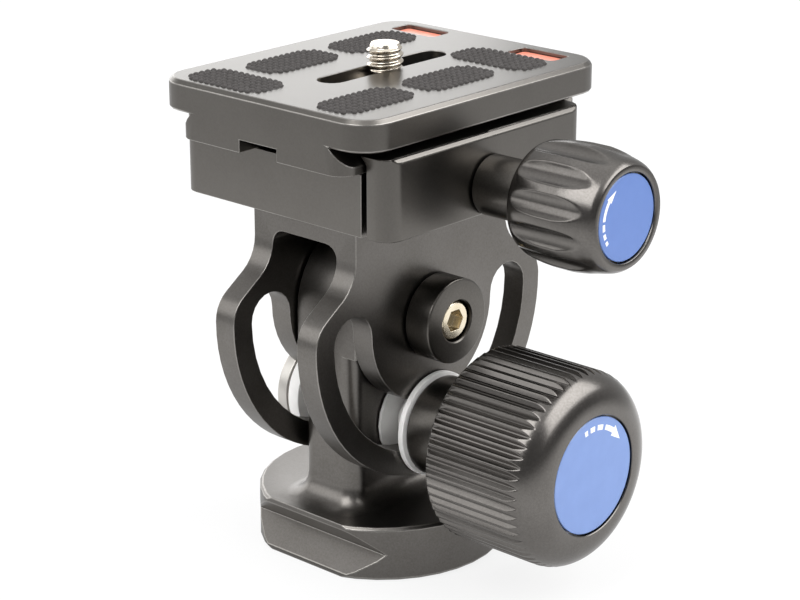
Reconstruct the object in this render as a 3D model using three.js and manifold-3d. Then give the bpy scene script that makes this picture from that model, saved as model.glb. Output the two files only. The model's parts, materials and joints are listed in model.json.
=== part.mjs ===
// Monopod tilt head with a quick-release clamp, in millimetres, +Z up.
// The origin is the middle of the base's underside. The tilt axis, the lock bolt and the clamp screw
// all run along X. The plate and the clamp jaws run along Y.
import * as THREE from "three";
import { mergeVertices } from "three/addons/utils/BufferGeometryUtils.js";
import Module from "manifold-3d";

const wasm = await Module();
wasm.setup();

// Clearances
const fitGap = 0.3;
const slideGap = 0.25;
const cutOverrun = 2;
const mergeDistance = 1e-4;

// Heights and distances that several pieces share
const pivotHeight = 44.3;
const lockHeightShare = 24.25 / 44.3;
const clampRise = 21;
const forkGap = 15;

// Base foot, a round disc with a grooved flat on two sides
const footRadius = 22.2;
const footHeight = 10;
const footFlat = 19.9;
const footRim = 1;
const grooveDepth = 4.1;
const footChamfer = 0.5;
const socketHoleDepth = 12.3;

// Base upright
const uprightThickness = 12.6;
const uprightWidth = 28.4;
const uprightCorner = 2.9;
const uprightFlare = 4.2;
const hubDrop = 6.2;
const hubChamfer = 0.3;

// Threaded socket bush for the monopod's stud
const socketRadius = 4.76;
const socketWall = 1.75;
const socketChamfer = 0.6;

// Fork
const cheekThickness = 4.5;
const slotRim = 4.4;
const neckWidth = 38.6;
const neckBlend = 7;
const neckBlendRise = 13.9;
const shoulderBlend = 6;
const shoulderSlope = THREE.MathUtils.degToRad(34);
const crownRise = 15.8;
const windowCorner = 2.5;
const slotWidth = 9.1;

// Pivot
const pinRadius = 4;
const pinBushWall = 0.8;
const bossRadius = 7.55;
const bossLength = 5.3;
const bossChamfer = 0.4;
const bossRecessRadius = 3.74;
const bossRecessDepth = 3.4;
const setScrewLength = 2.6;
const setScrewSocket = 3.6;
const setScrewSocketDepth = 1.8;

// Lock bolt and what it carries
const boltRadius = 3;
const boltEnd = 38;
const boltHeadRadius = 9.2;
const boltHeadLength = 2.5;
const boltHeadChamfer = 0.35;
const spacerRadius = 6.3;
const spacerLength = 2.3;
const sleeveRadius = 4.2;
const frictionShare = 8.2 / 14.25;
const frictionThickness = 0.6;
const thrustRadius = 9.4;
const thrustThickness = 1.1;
const collarRadius = 8.9;
const collarChamfer = 0.4;

// Lock knob
const lockKnobStart = 25.2;
const lockKnobEnd = 48;
const lockDomeStart = 42.5;
const lockKnobRadius = 17.2;
const ridgeCount = 60;
const ridgeFootShare = 0.88;
const ridgePeakShare = 0.086;
const ridgePeakRise = 0.1;
const ridgeTurnShare = 2.3 / 6;
const grooveFloorDepth = 0.6;
const lockFaceRadius = 11;
const lockDiscRadius = 10.2;
const lockInsertRadius = 6;
const lockInsertLength = 11;
const lockTravel = 2;

// Clamp
const clampLength = 50;
const clampLeft = 23.5;
const clampRight = 18.6;
const clampFloor = 10.7;
const jawGap = 1;
const jawFace = 24.6;
const jawDrop = 1.6;
const jawChamfer = 0.75;
const jawCorner = 3.2;
const spindleDrop = 6.05;
const spindleRadius = 3;
const spindleStart = -13;
const spindleTail = 4.5;
const guideSpacing = 32;
const guideRadius = 2;
const guideStart = 4;
const guideSeat = 3.8;
const springStart = 10.2;
const springWire = 0.45;
const springTurns = 5;
const springPocketRadius = 3.9;
const mountScrewSpacing = 18;
const mountScrewRadius = 2.5;
const mountHeadRadius = 4.2;
const mountHeadHeight = 4;
const mountScrewReach = 3.6;
const mountSocket = 3.4;
const mountSocketDepth = 2;

// Clamp knob
const clampCollarRadius = 5.2;
const clampCollarLength = 10;
const clampKnobLength = 18;
const clampKnobBack = 8;
const clampKnobBelly = 10.55;
const clampKnobFront = 8.6;
const fluteCount = 12;
const fluteRadius = 2.9;
const fluteDepth = 0.95;
const fluteTurn = THREE.MathUtils.degToRad(13.5);
const clampDiscRadius = 7.2;

// Discs in the knobs' ends
const discThickness = 0.7;
const discInset = 0.25;

// Quick-release plate
const plateWidth = 48.8;
const plateLength = 60.6;
const plateShift = 0.45;
const slabThickness = 5.4;
const slabCorner = 5.6;
const slabTopChamfer = 0.75;
const slabBottomChamfer = 0.3;
const dovetailHeight = 4.5;
const dovetailNeck = 32;
const dovetailFoot = 38.2;
const dovetailCorner = 3.2;
const screwSlotWidth = 5;
const screwSlotLength = 30.2;
const headPocketWidth = 15;
const headPocketLength = 39;
const headPocketDepth = 3.6;
const channelWidth = 8.6;
const channelDepth = 2.2;
const padLength = 18.5;
const padWidth = 9.1;
const padCorner = 4;
const padSink = 0.8;
const padRise = 0.4;
const padAcross = 13.85;
const padEndAcross = 11.2;
const padEndAlong = 20.7;
const padNearAlong = 4.55;
const padFarAlong = 15.7;
const padGroupShift = 3.45;
const pocketLength = 10.3;
const pocketWidth = 5;
const pocketCorner = 1;
const pocketDepth = 1.8;
const pocketAcross = 13.75;
const pocketEnd = 5.35;
const inlayThickness = 0.8;

// Camera screw
const cameraThreadRadius = 3.17;
const cameraNeckRadius = 2.2;
const cameraScrewRise = 4.1;
const cameraScrewShift = 0.5;
const cameraHeadRadius = 6.5;
const cameraHeadHeight = 2.3;
const cameraCoinSlotWidth = 1.6;
const cameraCoinSlotDepth = 1;
const cameraWasherThickness = 0.5;
const cameraNeckTop = 0.5;
const cameraTipChamfer = 0.6;

// How finely round things are divided
const roundSteps = 36;
const smallRoundSteps = 20;
const fluteSteps = 12;
const domeSteps = 5;
const cornerSteps = 5;
const slotSteps = 24;
const springSides = 4;
const springStepsPerTurn = 8;

// Places that follow from the sizes above
const lockHeight = pivotHeight * lockHeightShare;
const slotRadius = pivotHeight - lockHeight;
const cheekRadius = slotRadius + slotWidth / 2 + slotRim;
const frictionRadius = (lockHeight - footHeight) * frictionShare;
const pocketAlong = plateLength / 2 - pocketEnd;
const cheekInside = forkGap / 2;
const cheekOutside = cheekInside + cheekThickness;
const hubHalf = cheekInside - fitGap;
const uprightHalf = uprightThickness / 2;
const clampBottom = pivotHeight + clampRise;
const clampFloorTop = clampBottom + clampFloor;
const plateBottom = clampFloorTop + fitGap;
const slabBottom = plateBottom + dovetailHeight;
const plateTop = slabBottom + slabThickness;
const jawTop = slabBottom - jawDrop;
const jawInside = clampRight + jawGap;
const spindleHeight = plateBottom - spindleDrop;
const neckHalf = dovetailNeck / 2;
const footHalf = dovetailFoot / 2;
const flankRun = footHalf - neckHalf;

// Geometry helpers

function toSolid(geometry) {
  const bare = geometry.clone();
  bare.deleteAttribute("normal");
  bare.deleteAttribute("uv");
  const merged = mergeVertices(bare, mergeDistance);
  const kept = [];
  for (let i = 0; i < merged.index.count; i += 3) {
    const [a, b, c] = [0, 1, 2].map((k) => merged.index.getX(i + k));
    if (a !== b && b !== c && c !== a) kept.push(a, b, c);
  }
  const build = (order) =>
    new wasm.Manifold(
      new wasm.Mesh({
        numProp: 3,
        vertProperties: merged.attributes.position.array,
        triVerts: new Uint32Array(order),
      }),
    );
  const solid = build(kept);
  if (solid.volume() > 0) return solid;
  const turned = kept.map((_, i) => kept[i - (i % 3) + (2 - (i % 3))]);
  return build(turned);
}

function toGeometry(solid) {
  const mesh = solid.getMesh();
  const stride = mesh.numProp;
  const positions = new Float32Array(mesh.numVert * 3);
  for (let i = 0; i < mesh.numVert; i++) {
    positions.set(mesh.vertProperties.subarray(i * stride, i * stride + 3), i * 3);
  }
  const geometry = new THREE.BufferGeometry();
  geometry.setAttribute("position", new THREE.BufferAttribute(positions, 3));
  geometry.setIndex(new THREE.BufferAttribute(mesh.triVerts, 1));
  geometry.computeVertexNormals();
  return geometry;
}

const joined = (first, ...rest) => rest.reduce((whole, part) => whole.add(part), first);
const cut = (first, ...rest) => rest.reduce((whole, part) => whole.subtract(part), first);

// An outline is a list of [first, second] pairs.
function outlineShape(outline) {
  return new THREE.Shape(outline.map(([a, b]) => new THREE.Vector2(a, b)));
}

function arcOutline(centreA, centreB, radius, startAngle, endAngle, steps) {
  return Array.from({ length: steps + 1 }, (_, i) => {
    const angle = startAngle + ((endAngle - startAngle) * i) / steps;
    return [centreA + radius * Math.cos(angle), centreB + radius * Math.sin(angle)];
  });
}

function roundedRectangle(left, right, low, high, corner) {
  const quarter = Math.PI / 2;
  return [
    ...arcOutline(right - corner, low + corner, corner, -quarter, 0, cornerSteps),
    ...arcOutline(right - corner, high - corner, corner, 0, quarter, cornerSteps),
    ...arcOutline(left + corner, high - corner, corner, quarter, 2 * quarter, cornerSteps),
    ...arcOutline(left + corner, low + corner, corner, 2 * quarter, 3 * quarter, cornerSteps),
  ];
}

// A slot round the origin, with a half round at each end.
function roundEnded(width, length) {
  const radius = width / 2;
  const middle = length / 2 - radius;
  return [
    ...arcOutline(0, middle, radius, 0, Math.PI, 2 * cornerSteps),
    ...arcOutline(0, -middle, radius, Math.PI, 2 * Math.PI, 2 * cornerSteps),
  ];
}

function extruded(outline, length) {
  return new THREE.ExtrudeGeometry(outlineShape(outline), { depth: length, bevelEnabled: false, steps: 1 });
}

// An outline in X and Y, extruded upwards.
function extrudedUp(outline, low, high) {
  return toSolid(extruded(outline, high - low).translate(0, 0, low));
}

// An outline in Y and Z, extruded along +X.
function extrudedAcross(outline, start, end) {
  const turn = new THREE.Matrix4().makeBasis(
    new THREE.Vector3(0, 1, 0),
    new THREE.Vector3(0, 0, 1),
    new THREE.Vector3(1, 0, 0),
  );
  return toSolid(extruded(outline, end - start).applyMatrix4(turn).translate(start, 0, 0));
}

// An outline in X and Z, extruded along Y.
function extrudedAlong(outline, start, end) {
  const turn = new THREE.Matrix4().makeBasis(
    new THREE.Vector3(1, 0, 0),
    new THREE.Vector3(0, 0, 1),
    new THREE.Vector3(0, -1, 0),
  );
  return toSolid(extruded(outline, end - start).applyMatrix4(turn).translate(0, end, 0));
}

// A closed profile of [radius, place] pairs, turned about a line along X.
function turnedAcross(profile, y, z, steps = roundSteps) {
  const points = [...profile, profile[0]].map(([radius, place]) => new THREE.Vector2(radius, place));
  const geometry = new THREE.LatheGeometry(points, steps).rotateZ(-Math.PI / 2);
  return toSolid(geometry.translate(0, y, z));
}

// A closed profile of [radius, height] pairs, turned about a line along Z.
function turnedUp(profile, x, y, steps = roundSteps) {
  const points = [...profile, profile[0]].map(([radius, place]) => new THREE.Vector2(radius, place));
  const geometry = new THREE.LatheGeometry(points, steps).rotateX(Math.PI / 2);
  return toSolid(geometry.translate(x, y, 0));
}

const rodAcross = (radius, start, end, y, z, steps = smallRoundSteps) =>
  turnedAcross([[0, start], [radius, start], [radius, end], [0, end]], y, z, steps);

const rodUp = (radius, low, high, x, y, steps = smallRoundSteps) =>
  turnedUp([[0, low], [radius, low], [radius, high], [0, high]], x, y, steps);

const tubeAcross = (inner, outer, start, end, y, z, steps = roundSteps) =>
  turnedAcross([[inner, start], [outer, start], [outer, end], [inner, end]], y, z, steps);

// A rod with a chamfer at each end.
function chamferedRodAcross(radius, start, end, chamfer, y, z, steps = roundSteps) {
  const profile = [
    [0, start],
    [radius - chamfer, start],
    [radius, start + chamfer],
    [radius, end - chamfer],
    [radius - chamfer, end],
    [0, end],
  ];
  return turnedAcross(profile, y, z, steps);
}

// A loft through rings of points that all have the same count, closed by a fan at each end.
function lofted(rings) {
  const count = rings[0].length;
  const positions = rings.flat(2);
  const triangles = [];
  for (let r = 0; r + 1 < rings.length; r++) {
    for (let i = 0; i < count; i++) {
      const a = r * count + i;
      const b = r * count + ((i + 1) % count);
      triangles.push(a, b, b + count, a, b + count, a + count);
    }
  }
  const addFan = (ring, flip) => {
    const centre = positions.length / 3;
    const first = ring * count;
    for (let k = 0; k < 3; k++) {
      positions.push(rings[ring].reduce((sum, point) => sum + point[k], 0) / count);
    }
    for (let i = 0; i < count; i++) {
      const a = first + i;
      const b = first + ((i + 1) % count);
      triangles.push(...(flip ? [centre, b, a] : [centre, a, b]));
    }
  };
  addFan(0, true);
  addFan(rings.length - 1, false);
  const geometry = new THREE.BufferGeometry();
  geometry.setAttribute("position", new THREE.Float32BufferAttribute(positions, 3));
  geometry.setIndex(triangles);
  return toSolid(geometry);
}

// A flat plate with round corners and chamfered top and bottom edges.
function chamferedPlate(x, y, width, length, corner, low, high, bottomChamfer, topChamfer) {
  const ring = (inset, height) =>
    roundedRectangle(
      x - width / 2 + inset,
      x + width / 2 - inset,
      y - length / 2 + inset,
      y + length / 2 - inset,
      corner - inset,
    ).map(([a, b]) => [a, b, height]);
  return lofted([
    ring(bottomChamfer, low),
    ring(0, low + bottomChamfer),
    ring(0, high - topChamfer),
    ring(topChamfer, high),
  ]);
}

// A hexagon in Y and Z with its flats the given distance from the middle.
const hexagon = (y, z, flatRadius) =>
  Array.from({ length: 6 }, (_, i) => {
    const angle = (Math.PI * i) / 3;
    const radius = flatRadius / Math.cos(Math.PI / 6);
    return [y + radius * Math.cos(angle), z + radius * Math.sin(angle)];
  });

// Materials

const finish = (color, roughness, metalness) =>
  new THREE.MeshStandardMaterial({ color, roughness, metalness });

const blackAnodised = finish(0x35322f, 0.42, 0.85);
const blackTurned = finish(0x262422, 0.35, 0.85);
const brightSteel = finish(0xd8d6d0, 0.22, 1);
const greySteel = finish(0xa19e9a, 0.4, 1);
const brass = finish(0xc2a36b, 0.28, 1);
const whiteNylon = finish(0xe9e8e4, 0.5, 0);
const blackRubber = finish(0x4a4846, 0.85, 0);
const knobBlack = finish(0x3a3836, 0.45, 0.3);
const blueDisc = finish(0x4c79cf, 0.4, 0.3);
const redInlay = finish(0xd8553c, 0.6, 0);
const bronzeBush = finish(0xa9824f, 0.4, 1);

// Base

// The foot's flats carry a sideways V groove, so that the foot can also sit in a dovetail clamp.
function footCutter(side) {
  const rimLow = footHeight - footRim;
  const inner = footFlat - grooveDepth;
  const outer = footRadius + cutOverrun;
  const outline = [
    [outer * side, -cutOverrun],
    [footFlat * side, -cutOverrun],
    [footFlat * side, rimLow - 2 * grooveDepth],
    [inner * side, rimLow - grooveDepth],
    [footFlat * side, rimLow],
    [footFlat * side, footHeight + cutOverrun],
    [outer * side, footHeight + cutOverrun],
  ];
  return extrudedAcross(outline, -outer, outer);
}

function makeFoot() {
  const disc = turnedUp(
    [
      [0, 0],
      [footRadius - footChamfer, 0],
      [footRadius, footChamfer],
      [footRadius, footHeight - footChamfer],
      [footRadius - footChamfer, footHeight],
      [0, footHeight],
    ],
    0,
    0,
  );
  return cut(disc, footCutter(1), footCutter(-1));
}

// The upright flares into the foot along a quarter round.
function makeUpright() {
  const hubLow = pivotHeight - hubDrop;
  const ring = (grow, height) =>
    roundedRectangle(
      -uprightHalf - grow,
      uprightHalf + grow,
      -uprightWidth / 2 - grow,
      uprightWidth / 2 + grow,
      uprightCorner + grow,
    ).map(([a, b]) => [a, b, height]);
  const flare = Array.from({ length: cornerSteps + 1 }, (_, i) => {
    const angle = (Math.PI / 2) * (i / cornerSteps);
    const grow = uprightFlare * (1 - Math.sin(angle));
    return ring(grow, footHeight + uprightFlare * (1 - Math.cos(angle)));
  });
  return lofted([ring(uprightFlare, footHeight - footRim), ...flare, ring(0, hubLow + cutOverrun)]);
}

// The arch-topped hub that the fork turns on.
function makeHub() {
  const half = uprightWidth / 2;
  const low = pivotHeight - hubDrop;
  const arch = (inset) => [
    [-half + inset, low + inset],
    [half - inset, low + inset],
    ...arcOutline(0, pivotHeight, half - inset, 0, Math.PI, roundSteps / 2),
  ];
  const ring = (inset, x) => arch(inset).map(([y, z]) => [x, y, z]);
  return lofted([
    ring(hubChamfer, -hubHalf),
    ring(0, -hubHalf + hubChamfer),
    ring(0, hubHalf - hubChamfer),
    ring(hubChamfer, hubHalf),
  ]);
}

function makeBasePost() {
  const socketHole = socketRadius + socketWall + fitGap;
  const pivotHole = pinRadius + pinBushWall + 2 * fitGap;
  const reach = footRadius;
  return cut(
    joined(makeFoot(), makeUpright(), makeHub()),
    rodUp(socketHole, -cutOverrun, socketHoleDepth, 0, 0),
    rodAcross(pivotHole, -reach, reach, 0, pivotHeight),
    rodAcross(boltRadius + fitGap, -reach, reach, 0, lockHeight),
  );
}

function makeSocketBush() {
  const outer = socketRadius + socketWall;
  const top = socketHoleDepth - fitGap;
  return turnedUp(
    [
      [socketRadius + socketChamfer, fitGap],
      [outer, fitGap],
      [outer, top],
      [socketRadius, top],
      [socketRadius, fitGap + socketChamfer],
    ],
    0,
    0,
    smallRoundSteps,
  );
}

// Fork

// The cheek is a wide round that sweeps up through a convex and a concave arc into the neck.
// The list runs up the side at positive Y, from the round to the neck's top.
function cheekSide() {
  const neckHalfWidth = neckWidth / 2;
  const hollowY = neckHalfWidth + neckBlend;
  const slopeNormalAngle = Math.PI / 2 - shoulderSlope;
  const hollowEnd = [
    hollowY - neckBlend * Math.cos(slopeNormalAngle),
    neckBlendRise - neckBlend * Math.sin(slopeNormalAngle),
  ];
  const inward = [-Math.cos(slopeNormalAngle), -Math.sin(slopeNormalAngle)];
  const down = [Math.cos(shoulderSlope), -Math.sin(shoulderSlope)];
  const start = hollowEnd.map((value, i) => value + shoulderBlend * inward[i]);
  const along = start[0] * down[0] + start[1] * down[1];
  const reach = cheekRadius - shoulderBlend;
  const run = -along + Math.sqrt(along * along - start[0] ** 2 - start[1] ** 2 + reach * reach);
  const shoulder = start.map((value, i) => value + run * down[i]);
  const touch = Math.atan2(shoulder[1], shoulder[0]);
  return {
    touch,
    points: [
      ...arcOutline(shoulder[0], shoulder[1], shoulderBlend, touch, slopeNormalAngle, cornerSteps),
      ...arcOutline(hollowY, neckBlendRise, neckBlend, Math.PI + slopeNormalAngle, Math.PI, cornerSteps),
      [neckHalfWidth, clampRise - fitGap],
    ],
  };
}

function cheekOutline() {
  const { touch, points } = cheekSide();
  const round = arcOutline(0, 0, cheekRadius, Math.PI - touch, 2 * Math.PI + touch, roundSteps);
  const left = points.map(([y, z]) => [-y, z]).reverse();
  return [...round.slice(1, -1), ...points, ...left].map(([y, z]) => [y, z + pivotHeight]);
}

// The curved slot runs half a turn below the pivot, so the fork can lean a quarter turn either way.
function slotOutline() {
  const half = slotWidth / 2;
  const outer = arcOutline(0, 0, slotRadius + half, Math.PI, 2 * Math.PI, slotSteps);
  const inner = arcOutline(0, 0, slotRadius - half, 2 * Math.PI, Math.PI, slotSteps);
  const right = arcOutline(slotRadius, 0, half, 0, Math.PI, cornerSteps * 2);
  const left = arcOutline(-slotRadius, 0, half, 0, Math.PI, cornerSteps * 2);
  const outline = [...outer.slice(0, -1), ...right, ...inner.slice(1, -1), ...left.slice(0, -1)];
  return outline.map(([y, z]) => [y, z + pivotHeight]);
}

function makeFork() {
  const crown = pivotHeight + crownRise;
  const low = pivotHeight - cheekRadius - cutOverrun;
  const reach = cheekRadius + cutOverrun;
  const blank = extrudedAcross(cheekOutline(), -cheekOutside, cheekOutside);
  const quarter = Math.PI / 2;
  const cornerX = cheekInside - windowCorner;
  const cornerZ = crown - windowCorner;
  const window = [
    [-cheekInside, low],
    [cheekInside, low],
    ...arcOutline(cornerX, cornerZ, windowCorner, 0, quarter, cornerSteps),
    ...arcOutline(-cornerX, cornerZ, windowCorner, quarter, 2 * quarter, cornerSteps),
  ];
  const side = cheekOutside + cutOverrun;
  const screws = [-1, 1].map((end) =>
    rodUp(mountScrewRadius + fitGap, crown - cutOverrun, clampBottom, 0, (end * mountScrewSpacing) / 2),
  );
  return cut(
    blank,
    extrudedAlong(window, -reach, reach),
    extrudedAcross(slotOutline(), -side, side),
    rodAcross(pinRadius + fitGap, -side, side, 0, pivotHeight),
    ...screws,
  );
}

// Pivot

const bossStart = cheekOutside + fitGap;
const bossEnd = bossStart + bossLength;

function makePivotPin() {
  const tail = -bossEnd + bossChamfer;
  const body = turnedAcross(
    [
      [0, tail],
      [pinRadius, tail],
      [pinRadius, bossStart],
      [bossRadius, bossStart],
      [bossRadius, bossEnd - bossChamfer],
      [bossRadius - bossChamfer, bossEnd],
      [0, bossEnd],
    ],
    0,
    pivotHeight,
    smallRoundSteps,
  );
  const recessFloor = bossEnd - bossRecessDepth;
  return cut(body, rodAcross(bossRecessRadius, recessFloor, bossEnd + cutOverrun, 0, pivotHeight));
}

function makePivotCap() {
  const inner = pinRadius + fitGap;
  return turnedAcross(
    [
      [inner, -bossStart],
      [inner, -bossEnd],
      [bossRadius - bossChamfer, -bossEnd],
      [bossRadius, -bossEnd + bossChamfer],
      [bossRadius, -bossStart],
    ],
    0,
    pivotHeight,
    smallRoundSteps,
  );
}

function makePivotSetScrew() {
  const start = bossEnd - bossRecessDepth + fitGap;
  const end = start + setScrewLength;
  const radius = bossRecessRadius - fitGap;
  const body = chamferedRodAcross(radius, start, end, fitGap, 0, pivotHeight, smallRoundSteps);
  const socket = hexagon(0, pivotHeight, setScrewSocket / 2);
  return cut(body, extrudedAcross(socket, end - setScrewSocketDepth, end + cutOverrun));
}

function makePivotBush() {
  const inner = pinRadius + fitGap;
  return tubeAcross(inner, inner + pinBushWall, -hubHalf, hubHalf, 0, pivotHeight, smallRoundSteps);
}

// Lock

const boltHole = boltRadius + fitGap;
const spacerStart = cheekOutside + fitGap;
const spacerEnd = spacerStart + spacerLength;
const boltHeadStart = spacerEnd + fitGap;
const thrustStart = cheekOutside + fitGap;
const collarStart = thrustStart + thrustThickness + fitGap;
const collarEnd = lockKnobStart - fitGap;

function makeLockBolt() {
  const inner = -boltHeadStart;
  const outer = inner - boltHeadLength;
  return turnedAcross(
    [
      [0, outer],
      [boltHeadRadius - boltHeadChamfer, outer],
      [boltHeadRadius, outer + boltHeadChamfer],
      [boltHeadRadius, inner - boltHeadChamfer],
      [boltHeadRadius - boltHeadChamfer, inner],
      [boltRadius, inner],
      [boltRadius, boltEnd],
      [0, boltEnd],
    ],
    0,
    lockHeight,
    smallRoundSteps,
  );
}

const makeLockSpacer = () =>
  tubeAcross(boltHole, spacerRadius, -spacerEnd, -spacerStart, 0, lockHeight, smallRoundSteps);

// The sleeves ride in the curved slots of the fork, one in each cheek.
function makeSlotSleeve(side) {
  const near = hubHalf + fitGap;
  const far = cheekOutside;
  const ends = side > 0 ? [near, far] : [-far, -near];
  return tubeAcross(boltHole, sleeveRadius, ...ends, 0, lockHeight, smallRoundSteps);
}

function makeFrictionWasher(side) {
  const near = hubHalf - frictionThickness;
  const ends = side > 0 ? [near, hubHalf] : [-hubHalf, -near];
  return tubeAcross(boltHole, frictionRadius, ...ends, 0, lockHeight, smallRoundSteps);
}

function makeThrustWasher() {
  const end = thrustStart + thrustThickness;
  return tubeAcross(boltHole, thrustRadius, thrustStart, end, 0, lockHeight, smallRoundSteps);
}

function makeLockCollar() {
  return turnedAcross(
    [
      [boltHole, collarStart],
      [collarRadius - collarChamfer, collarStart],
      [collarRadius, collarStart + collarChamfer],
      [collarRadius, collarEnd],
      [boltHole, collarEnd],
    ],
    0,
    lockHeight,
    smallRoundSteps,
  );
}

// The lock knob's turned shape: a cylinder that rounds over into a flat face round the disc.
function lockKnobProfile() {
  const recess = lockDiscRadius + fitGap;
  const floor = lockKnobEnd - discInset - discThickness - fitGap;
  const width = lockKnobRadius - lockFaceRadius;
  const depth = lockKnobEnd - lockDomeStart;
  const dome = Array.from({ length: domeSteps + 1 }, (_, i) => {
    const angle = (Math.PI / 2) * (i / domeSteps);
    return [lockFaceRadius + width * Math.cos(angle), lockDomeStart + depth * Math.sin(angle)];
  });
  return [
    [0, lockKnobStart],
    [lockKnobRadius - grooveFloorDepth, lockKnobStart],
    [lockKnobRadius, lockKnobStart + grooveFloorDepth],
    ...dome,
    [recess, lockKnobEnd],
    [recess, floor],
    [0, floor],
  ];
}

// A toothed prism. Its grooves leave narrow lands on the knob and die out where the dome falls away.
function makeRidges() {
  const pitch = (2 * Math.PI) / ridgeCount;
  const root = lockKnobRadius - grooveFloorDepth;
  const peak = lockKnobRadius + ridgePeakRise;
  const corners = [
    [-ridgeFootShare / 2, root],
    [-ridgePeakShare / 2, peak],
    [ridgePeakShare / 2, peak],
    [ridgeFootShare / 2, root],
  ];
  const outline = Array.from({ length: ridgeCount }).flatMap((_, i) =>
    corners.map(([share, radius]) => {
      const angle = pitch * (i + ridgeTurnShare + share);
      return [radius * Math.cos(angle), lockHeight + radius * Math.sin(angle)];
    }),
  );
  return extrudedAcross(outline, lockKnobStart - cutOverrun, lockKnobEnd + cutOverrun);
}

function makeLockKnob() {
  const pocketEnd = lockKnobStart + lockInsertLength + 2 * fitGap;
  return cut(
    turnedAcross(lockKnobProfile(), 0, lockHeight, ridgeCount).intersect(makeRidges()),
    rodAcross(lockInsertRadius + fitGap, lockKnobStart - cutOverrun, pocketEnd, 0, lockHeight),
    rodAcross(boltHole, lockKnobStart, boltEnd + lockTravel, 0, lockHeight),
  );
}

function makeLockInsert() {
  const start = lockKnobStart + fitGap;
  const end = start + lockInsertLength;
  return tubeAcross(boltHole, lockInsertRadius, start, end, 0, lockHeight, smallRoundSteps);
}

function makeDisc(radius, face, height) {
  return rodAcross(radius, face - discInset - discThickness, face - discInset, 0, height, roundSteps);
}

// Clamp

// The plan that rounds the clamp's four upright corners, taken over the body and the jaw together.
function clampPlan() {
  const half = clampLength / 2;
  return roundedRectangle(-clampLeft, jawFace, -half, half, jawCorner);
}

function makeClampBody() {
  const half = clampLength / 2;
  const wall = -footHalf - fitGap;
  const lipRise = jawTop - (slabBottom - flankRun);
  const outline = [
    [-clampLeft, clampBottom],
    [clampRight, clampBottom],
    [clampRight, clampFloorTop],
    [wall, clampFloorTop],
    [wall, slabBottom - flankRun],
    [wall + lipRise, jawTop],
    [-clampLeft + jawChamfer, jawTop],
    [-clampLeft, jawTop - jawChamfer],
  ];
  const plan = extrudedUp(clampPlan(), clampBottom - cutOverrun, jawTop + cutOverrun);
  const block = extrudedAlong(outline, -half, half).intersect(plan);
  const cuts = [
    rodAcross(spindleRadius + fitGap, spindleStart - fitGap, jawInside, 0, spindleHeight),
    ...[-1, 1].flatMap((end) => {
      const guideY = (end * guideSpacing) / 2;
      const screwY = (end * mountScrewSpacing) / 2;
      const headLow = clampFloorTop - mountHeadHeight - 2 * fitGap;
      const headTop = clampFloorTop + cutOverrun;
      return [
        rodAcross(guideRadius + slideGap, guideStart - fitGap, jawInside, guideY, spindleHeight),
        rodAcross(springPocketRadius, springStart - fitGap, jawInside, guideY, spindleHeight),
        rodUp(mountScrewRadius + fitGap, clampBottom - cutOverrun, headTop, 0, screwY),
        rodUp(mountHeadRadius + fitGap, headLow, headTop, 0, screwY),
      ];
    }),
  ];
  return cut(block, ...cuts);
}

function makeMovableJaw() {
  const half = clampLength / 2;
  const wall = jawInside;
  const flankLow = slabBottom - flankRun;
  const lipRise = jawTop - flankLow;
  const outline = [
    [wall, clampBottom],
    [jawFace, clampBottom],
    [jawFace, jawTop - jawChamfer],
    [jawFace - jawChamfer, jawTop],
    [wall - lipRise, jawTop],
    [wall, flankLow],
  ];
  const plan = extrudedUp(clampPlan(), clampBottom - cutOverrun, jawTop + cutOverrun);
  const block = extrudedAlong(outline, -half, half).intersect(plan);
  const seatEnd = jawInside + guideSeat + fitGap;
  const seats = [-1, 1].map((end) =>
    rodAcross(guideRadius + fitGap, clampRight, seatEnd, (end * guideSpacing) / 2, spindleHeight),
  );
  const spindleHole = rodAcross(spindleRadius + fitGap, clampRight, jawFace + cutOverrun, 0, spindleHeight);
  return cut(block, spindleHole, ...seats);
}

const makeGuidePin = (end) =>
  rodAcross(guideRadius, guideStart, jawInside + guideSeat, (end * guideSpacing) / 2, spindleHeight);

// A return spring that pushes the jaw open, wound round its guide pin.
function makeJawSpring(end) {
  const radius = springPocketRadius - fitGap - springWire;
  const start = springStart + springWire;
  const length = jawInside - fitGap - springWire - start;
  class Helix extends THREE.Curve {
    getPoint(t, target = new THREE.Vector3()) {
      const angle = 2 * Math.PI * springTurns * t;
      return target.set(start + length * t, radius * Math.cos(angle), radius * Math.sin(angle));
    }
  }
  const section = arcOutline(0, 0, springWire, 0, 2 * Math.PI, springSides).slice(0, -1);
  const geometry = new THREE.ExtrudeGeometry(outlineShape(section), {
    extrudePath: new Helix(),
    steps: springTurns * springStepsPerTurn,
    bevelEnabled: false,
  });
  return toSolid(geometry.translate(0, (end * guideSpacing) / 2, spindleHeight));
}

function makeMountScrew(end) {
  const headTop = clampFloorTop - fitGap;
  const headLow = headTop - mountHeadHeight;
  const y = (end * mountScrewSpacing) / 2;
  const body = turnedUp(
    [
      [0, clampBottom - mountScrewReach],
      [mountScrewRadius, clampBottom - mountScrewReach],
      [mountScrewRadius, headLow],
      [mountHeadRadius, headLow],
      [mountHeadRadius, headTop],
      [0, headTop],
    ],
    0,
    y,
    smallRoundSteps,
  );
  const socket = hexagon(0, y, mountSocket / 2);
  return cut(body, extrudedUp(socket, headTop - mountSocketDepth, headTop + cutOverrun));
}

// Clamp knob

const clampCollarStart = jawFace + fitGap;
const clampCollarEnd = clampCollarStart + clampCollarLength;
const clampKnobStart = clampCollarEnd + fitGap;
const clampKnobEnd = clampKnobStart + clampKnobLength;
const spindleEnd = clampKnobEnd - spindleTail;

function makeClampCollar() {
  const bore = spindleRadius + fitGap;
  const start = clampCollarStart;
  return tubeAcross(bore, clampCollarRadius, start, clampCollarEnd, 0, spindleHeight, smallRoundSteps);
}

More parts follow.
